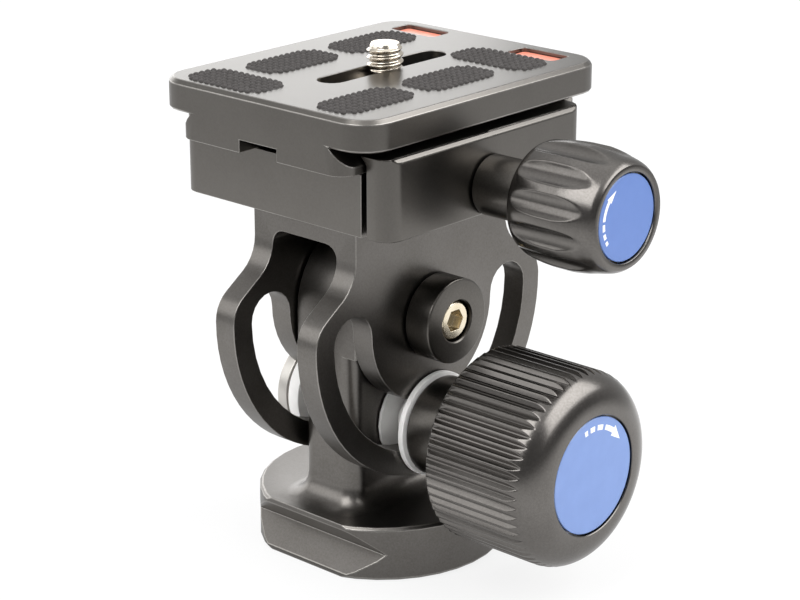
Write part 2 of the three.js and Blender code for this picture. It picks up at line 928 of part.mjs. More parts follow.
const makeClampSpindle = () => rodAcross(spindleRadius, spindleStart, spindleEnd, 0, spindleHeight);

// The barrel's radius along the knob: round at the back, widest in the middle, bevelled at the front.
function clampKnobProfile() {
  const backShares = [
    [0.02, 0.35],
    [0.06, 0.59],
    [0.13, 0.78],
    [0.21, 0.88],
    [0.32, 0.96],
    [0.43, 1],
  ];
  const frontShares = [
    [0.58, 1],
    [0.67, 0.92],
    [0.76, 0.78],
    [0.83, 0.61],
    [0.9, 0.46],
    [0.95, 0.31],
    [0.98, 0.15],
    [1, 0],
  ];
  const swollen = (shares, endRadius) =>
    shares.map(([place, swell]) => [
      endRadius + (clampKnobBelly - endRadius) * swell,
      clampKnobStart + clampKnobLength * place,
    ]);
  const recess = clampDiscRadius + fitGap;
  const floor = clampKnobEnd - discInset - discThickness - fitGap;
  return [
    [0, clampKnobStart],
    [clampKnobBack, clampKnobStart],
    ...swollen(backShares, clampKnobBack),
    ...swollen(frontShares, clampKnobFront),
    [recess, clampKnobEnd],
    [recess, floor],
    [0, floor],
  ];
}

function makeClampKnob() {
  const body = turnedAcross(clampKnobProfile(), 0, spindleHeight, 3 * fluteCount);
  const distance = clampKnobBelly - fluteDepth + fluteRadius;
  const flutes = Array.from({ length: fluteCount }, (_, i) => {
    const angle = (2 * Math.PI * i) / fluteCount + fluteTurn;
    const y = -distance * Math.cos(angle);
    const z = spindleHeight + distance * Math.sin(angle);
    return rodAcross(fluteRadius, clampKnobStart - cutOverrun, clampKnobEnd + cutOverrun, y, z, fluteSteps);
  });
  const bore = rodAcross(
    spindleRadius + fitGap,
    clampKnobStart - cutOverrun,
    spindleEnd + fitGap,
    0,
    spindleHeight,
  );
  return cut(body, ...flutes, bore);
}

// Quick-release plate

// Three pads lie on one side of the slot, and the other three are those three turned half a turn
// about a middle that is shifted away from the two pockets.
const padPlaces = [-1, 1].flatMap((side) => [
  { x: side * padEndAcross, y: side * padEndAlong - padGroupShift, turned: true },
  { x: side * padAcross, y: side * padNearAlong - padGroupShift, turned: false },
  { x: side * padAcross, y: -side * padFarAlong - padGroupShift, turned: false },
]);

function padPlate(place, grow, low, high) {
  const [width, length] = place.turned ? [padLength, padWidth] : [padWidth, padLength];
  return extrudedUp(
    roundedRectangle(
      place.x - width / 2 - grow,
      place.x + width / 2 + grow,
      place.y - length / 2 - grow,
      place.y + length / 2 + grow,
      padCorner + grow,
    ),
    low,
    high,
  );
}

function pocketPlate(side, shrink, low, high) {
  return extrudedUp(
    roundedRectangle(
      side * pocketAcross - pocketLength / 2 + shrink,
      side * pocketAcross + pocketLength / 2 - shrink,
      pocketAlong - pocketWidth / 2 + shrink,
      pocketAlong + pocketWidth / 2 - shrink,
      pocketCorner - shrink,
    ),
    low,
    high,
  );
}

function makeSlab() {
  return chamferedPlate(
    0,
    0,
    plateWidth,
    plateLength,
    slabCorner,
    slabBottom,
    plateTop,
    slabBottomChamfer,
    slabTopChamfer,
  );
}

function makeDovetail() {
  const half = plateLength / 2;
  const top = slabBottom + slabBottomChamfer;
  const outline = [
    [-footHalf, plateBottom],
    [footHalf, plateBottom],
    [footHalf, slabBottom - flankRun],
    [neckHalf, slabBottom],
    [neckHalf, top],
    [-neckHalf, top],
    [-neckHalf, slabBottom],
    [-footHalf, slabBottom - flankRun],
  ];
  const plan = roundedRectangle(-footHalf, footHalf, -half, half, dovetailCorner);
  return extrudedAlong(outline, -half, half).intersect(extrudedUp(plan, clampBottom, plateTop));
}

function makePlate() {
  const top = plateTop + cutOverrun;
  const slot = roundEnded(screwSlotWidth, screwSlotLength);
  const headPocket = roundEnded(headPocketWidth, headPocketLength);
  const channelHalf = channelWidth / 2;
  const channelReach = plateLength / 2 + cutOverrun;
  const channel = [
    [-channelHalf, plateBottom - cutOverrun],
    [channelHalf, plateBottom - cutOverrun],
    [channelHalf, plateBottom + channelDepth],
    [-channelHalf, plateBottom + channelDepth],
  ];
  return cut(
    joined(makeSlab(), makeDovetail()),
    extrudedUp(slot, plateBottom, top),
    extrudedUp(headPocket, plateBottom - cutOverrun, plateBottom + headPocketDepth),
    extrudedAlong(channel, -channelReach, channelReach),
    ...padPlaces.map((place) => padPlate(place, fitGap, plateTop - padSink, top)),
    ...[-1, 1].map((side) => pocketPlate(side, 0, plateTop - pocketDepth, top)),
  );
}

const makePad = (place) => padPlate(place, 0, plateTop - padSink + fitGap, plateTop + padRise);

function makeInlay(side) {
  const low = plateTop - pocketDepth + fitGap;
  return pocketPlate(side, fitGap, low, low + inlayThickness);
}

// Camera screw

const cameraWasherTop = plateBottom + headPocketDepth - slideGap;
const cameraWasherLow = cameraWasherTop - cameraWasherThickness;

function makeCameraScrew() {
  const headTop = cameraWasherLow - slideGap;
  const headLow = headTop - cameraHeadHeight;
  const neckTop = plateTop + cameraNeckTop;
  const tip = plateTop + cameraScrewRise;
  const body = turnedUp(
    [
      [0, headLow],
      [cameraHeadRadius, headLow],
      [cameraHeadRadius, headTop],
      [cameraNeckRadius, headTop],
      [cameraNeckRadius, neckTop],
      [cameraThreadRadius, neckTop],
      [cameraThreadRadius, tip - cameraTipChamfer],
      [cameraThreadRadius - cameraTipChamfer, tip],
      [0, tip],
    ],
    0,
    cameraScrewShift,
    smallRoundSteps,
  );
  const half = cameraCoinSlotWidth / 2;
  const reach = cameraHeadRadius + cutOverrun;
  const coinSlot = [
    [-reach, cameraScrewShift - half],
    [reach, cameraScrewShift - half],
    [reach, cameraScrewShift + half],
    [-reach, cameraScrewShift + half],
  ];
  return cut(body, extrudedUp(coinSlot, headLow - cutOverrun, headLow + cameraCoinSlotDepth));
}

const makeCameraWasher = () =>
  turnedUp(
    [
      [cameraNeckRadius + slideGap, cameraWasherLow],
      [cameraHeadRadius, cameraWasherLow],
      [cameraHeadRadius, cameraWasherTop],
      [cameraNeckRadius + slideGap, cameraWasherTop],
    ],
    0,
    cameraScrewShift,
    smallRoundSteps,
  );

// Assembly: each group holds the pieces that move together.

function piece(name, solid, material) {
  const mesh = new THREE.Mesh(toGeometry(solid), material);
  mesh.name = name;
  return mesh;
}

function groupOf(...meshes) {
  const group = new THREE.Group();
  group.add(...meshes);
  return group;
}

const base = groupOf(
  piece("base_post", makeBasePost(), blackAnodised),
  piece("socket_bush", makeSocketBush(), greySteel),
  piece("pivot_bush", makePivotBush(), bronzeBush),
  piece("friction_washer_left", makeFrictionWasher(-1), greySteel),
  piece("friction_washer_right", makeFrictionWasher(1), greySteel),
  piece("slot_sleeve_left", makeSlotSleeve(-1), blackTurned),
  piece("slot_sleeve_right", makeSlotSleeve(1), blackTurned),
  piece("lock_bolt", makeLockBolt(), brightSteel),
  piece("lock_spacer", makeLockSpacer(), greySteel),
  piece("thrust_washer", makeThrustWasher(), whiteNylon),
);

const lock = groupOf(
  piece("lock_collar", makeLockCollar(), blackTurned),
  piece("lock_knob", makeLockKnob(), knobBlack),
  piece("lock_insert", makeLockInsert(), greySteel),
  piece("lock_knob_disc", makeDisc(lockDiscRadius, lockKnobEnd, lockHeight), blueDisc),
);

const fork = groupOf(
  piece("fork", makeFork(), blackAnodised),
  piece("pivot_pin", makePivotPin(), blackTurned),
  piece("pivot_cap", makePivotCap(), blackTurned),
  piece("pivot_set_screw", makePivotSetScrew(), brass),
  piece("clamp_body", makeClampBody(), blackAnodised),
  piece("clamp_mount_screw_front", makeMountScrew(-1), greySteel),
  piece("clamp_mount_screw_rear", makeMountScrew(1), greySteel),
  piece("jaw_spring_front", makeJawSpring(-1), brightSteel),
  piece("jaw_spring_rear", makeJawSpring(1), brightSteel),
);

const jaw = groupOf(
  piece("movable_jaw", makeMovableJaw(), blackAnodised),
  piece("guide_pin_front", makeGuidePin(-1), greySteel),
  piece("guide_pin_rear", makeGuidePin(1), greySteel),
);

const clampKnob = groupOf(
  piece("clamp_spindle", makeClampSpindle(), greySteel),
  piece("clamp_knob_collar", makeClampCollar(), blackTurned),
  piece("clamp_knob", makeClampKnob(), knobBlack),
  piece("clamp_knob_disc", makeDisc(clampDiscRadius, clampKnobEnd, spindleHeight), blueDisc),
);

const plate = groupOf(
  piece("quick_plate", makePlate(), blackAnodised),
  ...padPlaces.map((place, i) => piece("grip_pad_" + (i + 1), makePad(place), blackRubber)),
  piece("pocket_inlay_left", makeInlay(-1), redInlay),
  piece("pocket_inlay_right", makeInlay(1), redInlay),
);

const cameraScrew = groupOf(
  piece("camera_screw", makeCameraScrew(), brightSteel),
  piece("camera_screw_washer", makeCameraWasher(), brightSteel),
);

const tiltHead = new THREE.Group();
tiltHead.name = "tilt_head";
jaw.add(clampKnob);
plate.add(cameraScrew);
plate.position.y = plateShift;
fork.add(jaw, plate);
tiltHead.add(base, lock, fork);

export default tiltHead;
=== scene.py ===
# %% [markdown]
# # Monopod tilt head
# A small machined head that lets a camera lean on top of a monopod. Its round foot and post stand
# still, a slotted fork leans over the post, and a screw clamp on the fork holds a dovetail plate.
# The engineering model comes first, as a fixed frame. Every piece made here is placed from that
# frame, in metres, so nothing has to be fitted by eye.

# %% Load the frame
import json
import math

import bmesh
import bpy
import numpy as np
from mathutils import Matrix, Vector

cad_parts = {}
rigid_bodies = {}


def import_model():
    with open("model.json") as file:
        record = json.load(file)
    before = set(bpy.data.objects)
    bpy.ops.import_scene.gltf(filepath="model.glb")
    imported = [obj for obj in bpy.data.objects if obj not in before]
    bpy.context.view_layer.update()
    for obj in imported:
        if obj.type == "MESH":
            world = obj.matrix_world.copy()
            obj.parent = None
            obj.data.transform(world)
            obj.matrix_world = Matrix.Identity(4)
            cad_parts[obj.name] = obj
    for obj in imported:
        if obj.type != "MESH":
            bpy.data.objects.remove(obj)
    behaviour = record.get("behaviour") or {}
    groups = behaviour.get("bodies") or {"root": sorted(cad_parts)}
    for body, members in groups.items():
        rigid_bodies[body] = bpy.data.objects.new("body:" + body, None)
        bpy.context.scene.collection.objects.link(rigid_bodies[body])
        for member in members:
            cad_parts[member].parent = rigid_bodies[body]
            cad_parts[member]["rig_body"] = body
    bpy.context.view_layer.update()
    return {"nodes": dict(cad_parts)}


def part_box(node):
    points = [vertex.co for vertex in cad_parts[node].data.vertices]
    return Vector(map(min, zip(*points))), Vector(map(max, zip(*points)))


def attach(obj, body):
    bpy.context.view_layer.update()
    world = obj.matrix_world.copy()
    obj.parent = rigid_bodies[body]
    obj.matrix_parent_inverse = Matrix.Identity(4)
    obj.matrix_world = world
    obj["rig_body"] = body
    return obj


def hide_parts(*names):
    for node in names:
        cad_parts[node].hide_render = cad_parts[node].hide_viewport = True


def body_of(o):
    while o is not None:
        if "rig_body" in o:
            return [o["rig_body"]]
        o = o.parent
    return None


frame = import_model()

MM = 0.001

# %% [markdown]
# ## Camera
# The photograph is a product shot from a little above, with a long lens. The camera's place was
# worked out from the straight edges of the plate and the round rims of the knobs. A long lens
# keeps parallel edges nearly parallel, which is why the focal length is set before the distance.

# %% Camera
IMAGE_WIDTH = 800
FOCAL_PIXELS = 2399
SENSOR_WIDTH = 36
NEAREST_SEEN = 10 * MM
CAMERA_AZIMUTH = math.radians(42.26)
CAMERA_ELEVATION = math.radians(19.14)
CAMERA_DISTANCE = 423.3 * MM
CAMERA_AIM = Vector((2.36, 2.15, 44.06)) * MM

from_aim = Vector((
    math.sin(CAMERA_AZIMUTH) * math.cos(CAMERA_ELEVATION),
    -math.cos(CAMERA_AZIMUTH) * math.cos(CAMERA_ELEVATION),
    math.sin(CAMERA_ELEVATION),
))
camera_data = bpy.data.cameras.new("camera")
camera_data.sensor_width = SENSOR_WIDTH
camera_data.lens = SENSOR_WIDTH * FOCAL_PIXELS / IMAGE_WIDTH
camera_data.clip_start = NEAREST_SEEN
camera = bpy.data.objects.new("camera", camera_data)
camera.location = CAMERA_AIM + from_aim * CAMERA_DISTANCE
camera.rotation_mode = "QUATERNION"
camera.rotation_quaternion = from_aim.to_track_quat("Z", "Y")
bpy.context.scene.collection.objects.link(camera)
bpy.context.scene.camera = camera
print("lens", round(camera_data.lens, 1), "mm, camera at", [round(v / MM) for v in camera.location])

# %% [markdown]
# ## Small helpers
# A hex colour is what an eye or a colour picker reads, but a renderer adds light, so it needs
# linear numbers. One function does that change. A second one adds a shader node, sets it and
# links it in one line, so that a material reads from top to bottom like a recipe.


# %% Colour and node helpers
def linear(hex_code):
    values = [int(hex_code[i:i + 2], 16) / 255 for i in (1, 3, 5)]
    return (*[v / 12.92 if v <= 0.04045 else ((v + 0.055) / 1.055) ** 2.4 for v in values], 1)


def add_node(tree, kind, inputs=None, **settings):
    node = tree.nodes.new(kind)
    for name, value in settings.items():
        setattr(node, name, value)
    for name, value in (inputs or {}).items():
        if isinstance(value, bpy.types.NodeSocket):
            tree.links.new(value, node.inputs[name])
        else:
            node.inputs[name].default_value = value
    return node


def new_finish(name):
    material = bpy.data.materials.new(name)
    material.use_nodes = True
    return material, material.node_tree, material.node_tree.nodes["Principled BSDF"]


def set_ramp(ramp, *stops):
    """Each stop is a place from 0 to 1 and a colour or a grey."""
    elements = ramp.color_ramp.elements
    while len(elements) < len(stops):
        elements.new(0.5)
    for element, (place, colour) in zip(elements, stops):
        element.position = place
        element.color = colour if isinstance(colour, tuple) else (colour, colour, colour, 1)


print("white is", [round(v, 2) for v in linear("#ffffff")])

# %% [markdown]
# ## What all finishes share
# No real surface is one flat colour with one gloss. Every finish here blends two close tones by a
# slow pattern, and a finer pattern moves the roughness up and down and lifts the surface by a few
# thousandths of a millimetre. A change of gloss alone would look like a smear and a bump alone
# like plastic, so the same fine pattern drives both. A noise texture's scale is a count of
# features per metre, which one function works out from their size in millimetres.


# %% Tones and grain
def per_metre(size_in_mm):
    """The scale at which a noise has features of about that size."""
    return 1 / (size_in_mm * MM)


def tones_and_grain(tree, shader, tone, stops, fine, roughness, strength, depth_mm):
    """A slow value picks the colour. A fine one spreads the roughness and lifts the surface."""
    ramp = add_node(tree, "ShaderNodeValToRGB", {"Fac": tone})
    set_ramp(ramp, *[(place, linear(hex_code)) for place, hex_code in stops])
    spread = add_node(
        tree, "ShaderNodeMapRange",
        {"Value": fine, "To Min": roughness[0], "To Max": roughness[1]},
    )
    bump = add_node(
        tree, "ShaderNodeBump",
        {"Height": fine, "Strength": strength, "Distance": depth_mm * MM},
    )
    tree.links.new(ramp.outputs["Color"], shader.inputs["Base Color"])
    tree.links.new(spread.outputs["Result"], shader.inputs["Roughness"])
    tree.links.new(bump.outputs["Normal"], shader.inputs["Normal"])


print("features of 1 mm need a noise scale of", round(per_metre(1)), "per metre")

# %% [markdown]
# ## Black anodised aluminium
# The foot, post, fork, clamp and plate are milled from aluminium, tumbled or blasted and then
# anodised black. The oxide layer is glassy and dark, so the metal shows almost no colour of its
# own and mirrors its surroundings softly, at about an eighth of their brightness. That gives the
# eye dark grey planes with a silky grain. A metal shader with a dark base colour does this in one
# layer. The blasting grain is about 0.1 mm, too fine to show here, so it is drawn at 0.35 mm.
# The knobs have the glossiest finish. A lighter one on the edges stands for rubbing and paints in their
# highlight.

# %% Black anodised aluminium
GRAIN_MM = 0.35
CLOUD_MM = 7
CLOUD_WEIGHT = 0.55
TONE_START = 0.55
ROUGH_SPREAD = 0.03
GRAIN_STRENGTH = 0.35


def anodised_aluminium(name, dark, light, rough, grain_depth):
    material, tree, shader = new_finish(name)
    place = add_node(tree, "ShaderNodeTexCoord").outputs["Object"]
    cloud = add_node(
        tree, "ShaderNodeTexNoise",
        {"Vector": place, "Scale": per_metre(CLOUD_MM), "Detail": 3},
    )
    grain = add_node(
        tree, "ShaderNodeTexNoise",
        {"Vector": place, "Scale": per_metre(GRAIN_MM), "Detail": 2, "Roughness": 0.6},
    )
    blend = add_node(
        tree, "ShaderNodeMath",
        {0: cloud.outputs["Fac"], 1: CLOUD_WEIGHT, 2: grain.outputs["Fac"]},
        operation="MULTIPLY_ADD",
    )
    tones_and_grain(
        tree, shader, blend.outputs["Value"], ((TONE_START, dark), (1.0, light)),
        grain.outputs["Fac"], (rough - ROUGH_SPREAD, rough + ROUGH_SPREAD), GRAIN_STRENGTH, grain_depth,
    )
    shader.inputs["Metallic"].default_value = 1
    return material


blasted_black = anodised_aluminium("black anodised aluminium, blasted", "#686561", "#73706d", 0.33, 0.006)
milled_black = anodised_aluminium("black anodised aluminium, milled", "#6d6a66", "#726f6b", 0.3, 0.002)
turned_black = anodised_aluminium("black anodised aluminium, turned", "#5d5a56", "#676460", 0.32, 0.0015)
# Lighter tone for the bevels: rubbed edges and a painted edge highlight.
worn_and_highlit_edge = anodised_aluminium("lighter anodised edge, wear and painted highlight", "#86837f", "#96938f", 0.3, 0.003)
knob_black = anodised_aluminium("black anodised aluminium, knurled knob", "#666360", "#716e6b", 0.24, 0.003)
print("anodised finishes:", blasted_black.name, "/", turned_black.name)

# %% [markdown]
# ## Bright metals
# The camera screw is nickel-plated steel: warm white, nearly a mirror, with only faint turning
# marks. The lock bolt, the pins and the springs are plain steel with a satin surface. The set
# screw in the pivot's end is pale brass and the bush round the pivot is oil bronze. All four are
# metals, so the base colour is the colour of the reflection itself. Real turning marks are a few
# hundredths of a millimetre apart, too fine to show, so they are drawn at a quarter of one.

# %% Bright metals
TURNING_MM = 0.25
STAIN_MM = 4
METAL_SPREAD = 0.25
TURNING_STRENGTH = 0.25


def bright_metal(name, dark, light, rough, mark_depth):
    material, tree, shader = new_finish(name)
    place = add_node(tree, "ShaderNodeTexCoord").outputs["Object"]
    stain = add_node(
        tree, "ShaderNodeTexNoise",
        {"Vector": place, "Scale": per_metre(STAIN_MM), "Detail": 2},
    )
    marks = add_node(
        tree, "ShaderNodeTexNoise",
        {"Vector": place, "Scale": per_metre(TURNING_MM), "Detail": 2},
    )
    tones_and_grain(
        tree, shader, stain.outputs["Fac"], ((0.35, dark), (0.65, light)), marks.outputs["Fac"],
        (rough * (1 - METAL_SPREAD), rough * (1 + METAL_SPREAD)), TURNING_STRENGTH, mark_depth,
    )
    shader.inputs["Metallic"].default_value = 1
    return material


nickel = bright_metal("nickel-plated steel", "#cdc3b4", "#ddd5c8", 0.2, 0.004)
satin_steel = bright_metal("satin steel", "#bbb8b3", "#c2bfba", 0.38, 0.006)
brass = bright_metal("pale brass", "#dccfb4", "#ece2cd", 0.22, 0.004)
bronze = bright_metal("oil bronze", "#a27c48", "#bb945c", 0.4, 0.006)
print("bright metals:", [m.name for m in (nickel, satin_steel, brass, bronze)])

# %% [markdown]
# ## Plastics, rubber and lacquers
# The washers and the spacer are natural nylon, white and a little waxy. The grip pads are moulded
# rubber, dark and matt between their points; their tips are painted light grey, a painted highlight
# where light falls on them. The knobs' end discs carry a smooth blue lacquer over metal and the two
# pockets are filled with an orange-red one, so light goes into a coloured layer under a clear gloss.
# All of these differ only in a few numbers, so one function makes them all.

# %% Plastics, rubber and lacquers
RUBBER_PATCH_MM = 1.5
FINE_SHARE = 1 / 6
DULL_SPREAD = 0.15
DULL_STRENGTH = 0.3
COAT_ROUGHNESS = 0.12


def dull_finish(name, dark, light, rough, patch_mm, depth, coat=0.0):
    material, tree, shader = new_finish(name)
    place = add_node(tree, "ShaderNodeTexCoord").outputs["Object"]
    patches = add_node(
        tree, "ShaderNodeTexNoise",
        {"Vector": place, "Scale": per_metre(patch_mm), "Detail": 4},
    )
    fine = add_node(
        tree, "ShaderNodeTexNoise",
        {"Vector": place, "Scale": per_metre(patch_mm * FINE_SHARE), "Detail": 3},
    )
    tones_and_grain(
        tree, shader, patches.outputs["Fac"], ((0.3, dark), (0.7, light)), fine.outputs["Fac"],
        (rough * (1 - DULL_SPREAD), min(1, rough * (1 + DULL_SPREAD))), DULL_STRENGTH, depth,
    )
    shader.inputs["Coat Weight"].default_value = coat
    shader.inputs["Coat Roughness"].default_value = COAT_ROUGHNESS
    return material


# The light grey on the tips is a painted highlight where light falls on the points.
rubber_tips_painted_light = dull_finish("moulded rubber, tips with painted highlight", "#979492", "#a4a19f", 0.7, RUBBER_PATCH_MM, 0.02)
gaps_of_rubber = dull_finish("moulded rubber, between the points", "#3b3837", "#464342", 0.8, RUBBER_PATCH_MM, 0.02)
nylon = dull_finish("natural nylon", "#f1f0ee", "#f9f8f6", 0.45, 3, 0.006)
blue_lacquer = dull_finish("blue lacquer", "#6885bf", "#6c89c3", 0.32, 3, 0.003, 0.4)
deep_blue_lacquer = dull_finish("deep blue lacquer", "#5474b5", "#5878b9", 0.32, 3, 0.003, 0.4)
red_lacquer = dull_finish("orange-red lacquer", "#e5826a", "#ee917a", 0.4, 2, 0.004, 0.3)
white_print = dull_finish("white print", "#ebecf2", "#f4f5fa", 0.4, 1, 0.002)
print("dull finishes:", [m.name for m in (rubber_tips_painted_light, gaps_of_rubber, nylon, blue_lacquer, red_lacquer)])

# %% [markdown]
# ## Pieces that keep their engineering shape
# Milled parts are never razor sharp: the last cut or the tumbling drum breaks each edge by a tenth
# or two of a millimetre, and that thin curve catches the light as a bright line. The engineering
# model has sharp edges, so each piece is copied, its coplanar triangles are joined into whole
# faces, and a Bevel modifier rounds every edge that turns by more than a set angle. Small facets
# on round parts turn by less, so they are smoothed instead. On the large milled pieces the curve
# takes a lighter finish, which stands for rubbed edges and also paints in the bright edge highlight.
# The movable jaw's edges are wider and keep the black finish, as in the photograph.

# %% Softened copies of the engineering pieces
JOIN_DISTANCE = 0.001 * MM
FLAT_ANGLE = math.radians(0.5)
EDGE_ANGLE = math.radians(28)
BEVEL_STEPS = 2
MILLED_EDGE = 0.16
JAW_EDGE = 0.3
SMALL_EDGE = 0.07


def finish_piece(piece, node, material):
    """The piece rides with its node's body, stands for the node and takes its finish."""
    piece.data.materials.clear()
    piece.data.materials.append(material)
    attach(piece, body_of(frame["nodes"][node])[0])
    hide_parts(node)
    return piece


def smooth_shading(mesh, angle=EDGE_ANGLE):
    for face in mesh.polygons:
        face.use_smooth = True
    mesh.set_sharp_from_angle(angle=angle)


def softened_copy(node, material, edge_mm):
    mesh = frame["nodes"][node].data.copy()
    mesh.name = node + "_softened"
    if "custom_normal" in mesh.attributes:
        mesh.attributes.remove(mesh.attributes["custom_normal"])
    form = bmesh.new()
    form.from_mesh(mesh)
    bmesh.ops.remove_doubles(form, verts=form.verts, dist=JOIN_DISTANCE)
    bmesh.ops.dissolve_limit(form, angle_limit=FLAT_ANGLE, verts=form.verts, edges=form.edges)
    form.to_mesh(mesh)
    form.free()
    smooth_shading(mesh)
    piece = bpy.data.objects.new(node + "_softened", mesh)
    bpy.context.scene.collection.objects.link(piece)
    finish_piece(piece, node, material)
    if edge_mm:
        bevel = piece.modifiers.new("broken edges", "BEVEL")
        bevel.width = edge_mm * MM
        bevel.segments = BEVEL_STEPS
        bevel.limit_method = "ANGLE"
        bevel.angle_limit = EDGE_ANGLE
        bevel.use_clamp_overlap = False
        bevel.harden_normals = True
        # The bevel takes the lighter edge finish: rubbed metal and painted highlight.
        if edge_mm == MILLED_EDGE:
            piece.data.materials.append(worn_and_highlit_edge)
            bevel.material = 1
    return piece


def keep_in_box(piece, node):
    """A bevel can overshoot at a tight inner corner, so its result is held in the node's box."""
    state = bpy.context.evaluated_depsgraph_get()
    piece.data = bpy.data.meshes.new_from_object(
        piece.evaluated_get(state), preserve_all_data_layers=True, depsgraph=state,
    )
    piece.modifiers.clear()
    low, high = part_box(node)
    for vertex in piece.data.vertices:
        vertex.co = [min(max(value, a), b) for value, a, b in zip(vertex.co, low, high)]


kept_shapes = {
    "base_post": (blasted_black, MILLED_EDGE),
    "fork": (blasted_black, MILLED_EDGE),
    "clamp_body": (milled_black, MILLED_EDGE),
    "movable_jaw": (milled_black, JAW_EDGE),
    "quick_plate": (milled_black, MILLED_EDGE),
    "pivot_set_screw": (brass, SMALL_EDGE),
    "pivot_bush": (bronze, SMALL_EDGE),
    "socket_bush": (satin_steel, SMALL_EDGE),
    "friction_washer_left": (nylon, SMALL_EDGE),
    "friction_washer_right": (nylon, SMALL_EDGE),
    "lock_insert": (satin_steel, SMALL_EDGE),
    "clamp_spindle": (satin_steel, SMALL_EDGE),
    "clamp_mount_screw_front": (satin_steel, SMALL_EDGE),
    "clamp_mount_screw_rear": (satin_steel, SMALL_EDGE),
    "guide_pin_front": (satin_steel, SMALL_EDGE),
    "guide_pin_rear": (satin_steel, SMALL_EDGE),
    "jaw_spring_front": (satin_steel, 0),
    "jaw_spring_rear": (satin_steel, 0),
    "pocket_inlay_left": (red_lacquer, SMALL_EDGE),
    "pocket_inlay_right": (red_lacquer, SMALL_EDGE),
    "camera_screw_washer": (nickel, SMALL_EDGE),
}
for node, (material, edge) in kept_shapes.items():
    softened = softened_copy(node, material, edge)
    if node == "quick_plate":
        keep_in_box(softened, node)
print(len(kept_shapes), "pieces keep their engineering shape")

# %% [markdown]
# ## A skin over rings of points
# The knobs, discs and thread are all round, with a radius that changes both along the axis and
# round it. Such a form is easiest as a sheet of rings: every ring has the same count of points,
# neighbours are joined by four-sided faces, and a ring of no size closes the end.


# %% Skins over rings
def skin(name, rings):
    """A closed mesh through rings of points, each an array of count by three."""
    count = len(rings[0])
    form = bmesh.new()
    corners = [form.verts.new(point) for point in np.concatenate(rings)]
    for ring in range(len(rings) - 1):
        for i in range(count):
            a = ring * count + i
            b = ring * count + (i + 1) % count
            form.faces.new([corners[k] for k in (a, b, b + count, a + count)])
    bmesh.ops.remove_doubles(form, verts=form.verts, dist=JOIN_DISTANCE)
    bmesh.ops.dissolve_degenerate(form, edges=form.edges, dist=JOIN_DISTANCE / 10)
    bmesh.ops.recalc_face_normals(form, faces=form.faces)
    mesh = bpy.data.meshes.new(name)
    form.to_mesh(mesh)
    form.free()
    smooth_shading(mesh)
    piece = bpy.data.objects.new(name, mesh)
    bpy.context.scene.collection.objects.link(piece)
    return piece


def full_circle(count):
    return np.arange(count) * 2 * math.pi / count


def rings_across(profile, angles, centre):
    """Rings about a line along X, one for each (x, radius). Angle 0 points along +Y."""
    return [
        np.stack([
            np.full(len(angles), x),
            centre[1] + radius * np.cos(angles),
            centre[2] + radius * np.sin(angles),
        ], 1)
        for x, radius in profile
    ]


def middle_of(node):
    low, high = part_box(node)
    return (low + high) / 2


def half_height(node):
    low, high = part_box(node)
    return (high.z - low.z) / 2


print("middle of the pivot in mm:", [round(value / MM, 1) for value in middle_of("pivot_bush")])

# %% [markdown]
# ## Turned pieces
# Bolt, washers, collars and pivot ends were all cut on a lathe. A profile drawn from the axis
# outwards and swept round it gives the same form, with as many steps as a smooth rim needs. Every
# outer corner is broken by a small curve, as a lathe tool leaves it. All places along the lathe
# axis and all radii are in millimetres here.

# %% Tools for the lathe
LATHE_STEPS = 128
RIM_STEPS = 4


def rounded_rim(x, radius, size, opening):
    """Points round an outer corner. opening is 1 where the piece lies beyond x, and -1 before it."""
    points = []
    for step in range(RIM_STEPS + 1):
        turn = step / RIM_STEPS * math.pi / 2
        turn = turn if opening > 0 else math.pi / 2 - turn
        points.append((x + opening * size * (1 - math.sin(turn)), radius - size * (1 - math.cos(turn))))
    return points


def rim_profile(low, high, radius, rim):
    """The outside of a round piece between two places, with both of its rims rounded."""
    return rounded_rim(low, radius, rim, 1)[::-1] + rounded_rim(high, radius, rim, -1)[::-1]


def tube_profile(low, high, bore, radius, rim):
    """A ring's whole section: out over one end, along the outside and back through the bore."""
    return [(low, bore), *rim_profile(low, high, radius, rim), (high, bore), (low, bore)]


def turned(node, material, profile):
    """The profile is a list of (x, radius) from one end to the other."""
    in_metres = [(x * MM, radius * MM) for x, radius in profile]
    rings = rings_across(in_metres, full_circle(LATHE_STEPS), middle_of(node))
    return finish_piece(skin(node + "_turned", rings), node, material)


def turned_ring(node, material, bore, rim):
    """A plain ring as long and as wide as its node."""
    low, high = [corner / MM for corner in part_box(node)]
    return turned(node, material, tube_profile(low.x, high.x, bore, half_height(node) / MM, rim))


print("a rim is rounded in", RIM_STEPS, "steps")

# %% [markdown]
# ## Rings on the bolt and the pivot
# The photograph shows a white nylon face behind the bolt's bright head, as wide as the head, so
# the spacer is drawn wider than its solid and reaches a little into the head. The sleeves that run
# in the fork's slots are nylon too. The collars are black like the knobs they carry.

# %% Rings
BOLT_BORE = 3.3
CAP_BORE = 4.3
SPACER_RADIUS = 9
SPACER_LAP = 0.2
NYLON_RIM = 0.15
SLEEVE_RIM = 0.2

spacer_low, spacer_high = [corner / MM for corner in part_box("lock_spacer")]
spacer = turned("lock_spacer", nylon, tube_profile(
    spacer_low.x - SPACER_LAP, spacer_high.x, BOLT_BORE, SPACER_RADIUS, NYLON_RIM,
))
turned_ring("thrust_washer", nylon, BOLT_BORE, NYLON_RIM)
for side in ("left", "right"):
    turned_ring("slot_sleeve_" + side, nylon, BOLT_BORE, SLEEVE_RIM)
black_rings = {
    "lock_collar": (BOLT_BORE, 0.4),
    "clamp_knob_collar": (BOLT_BORE, 0.3),
    "pivot_cap": (CAP_BORE, 0.4),
}
for node, (bore, rim) in black_rings.items():
    turned_ring(node, turned_black, bore, rim)
print("nylon spacer is", 2 * SPACER_RADIUS, "mm wide")

# %% [markdown]
# ## Bolt and pivot pin
# The lock bolt is a flat bright head on a long shank. The pivot pin ends in the round boss on the
# right cheek, which is hollow at its end so that the set screw can sit in it.

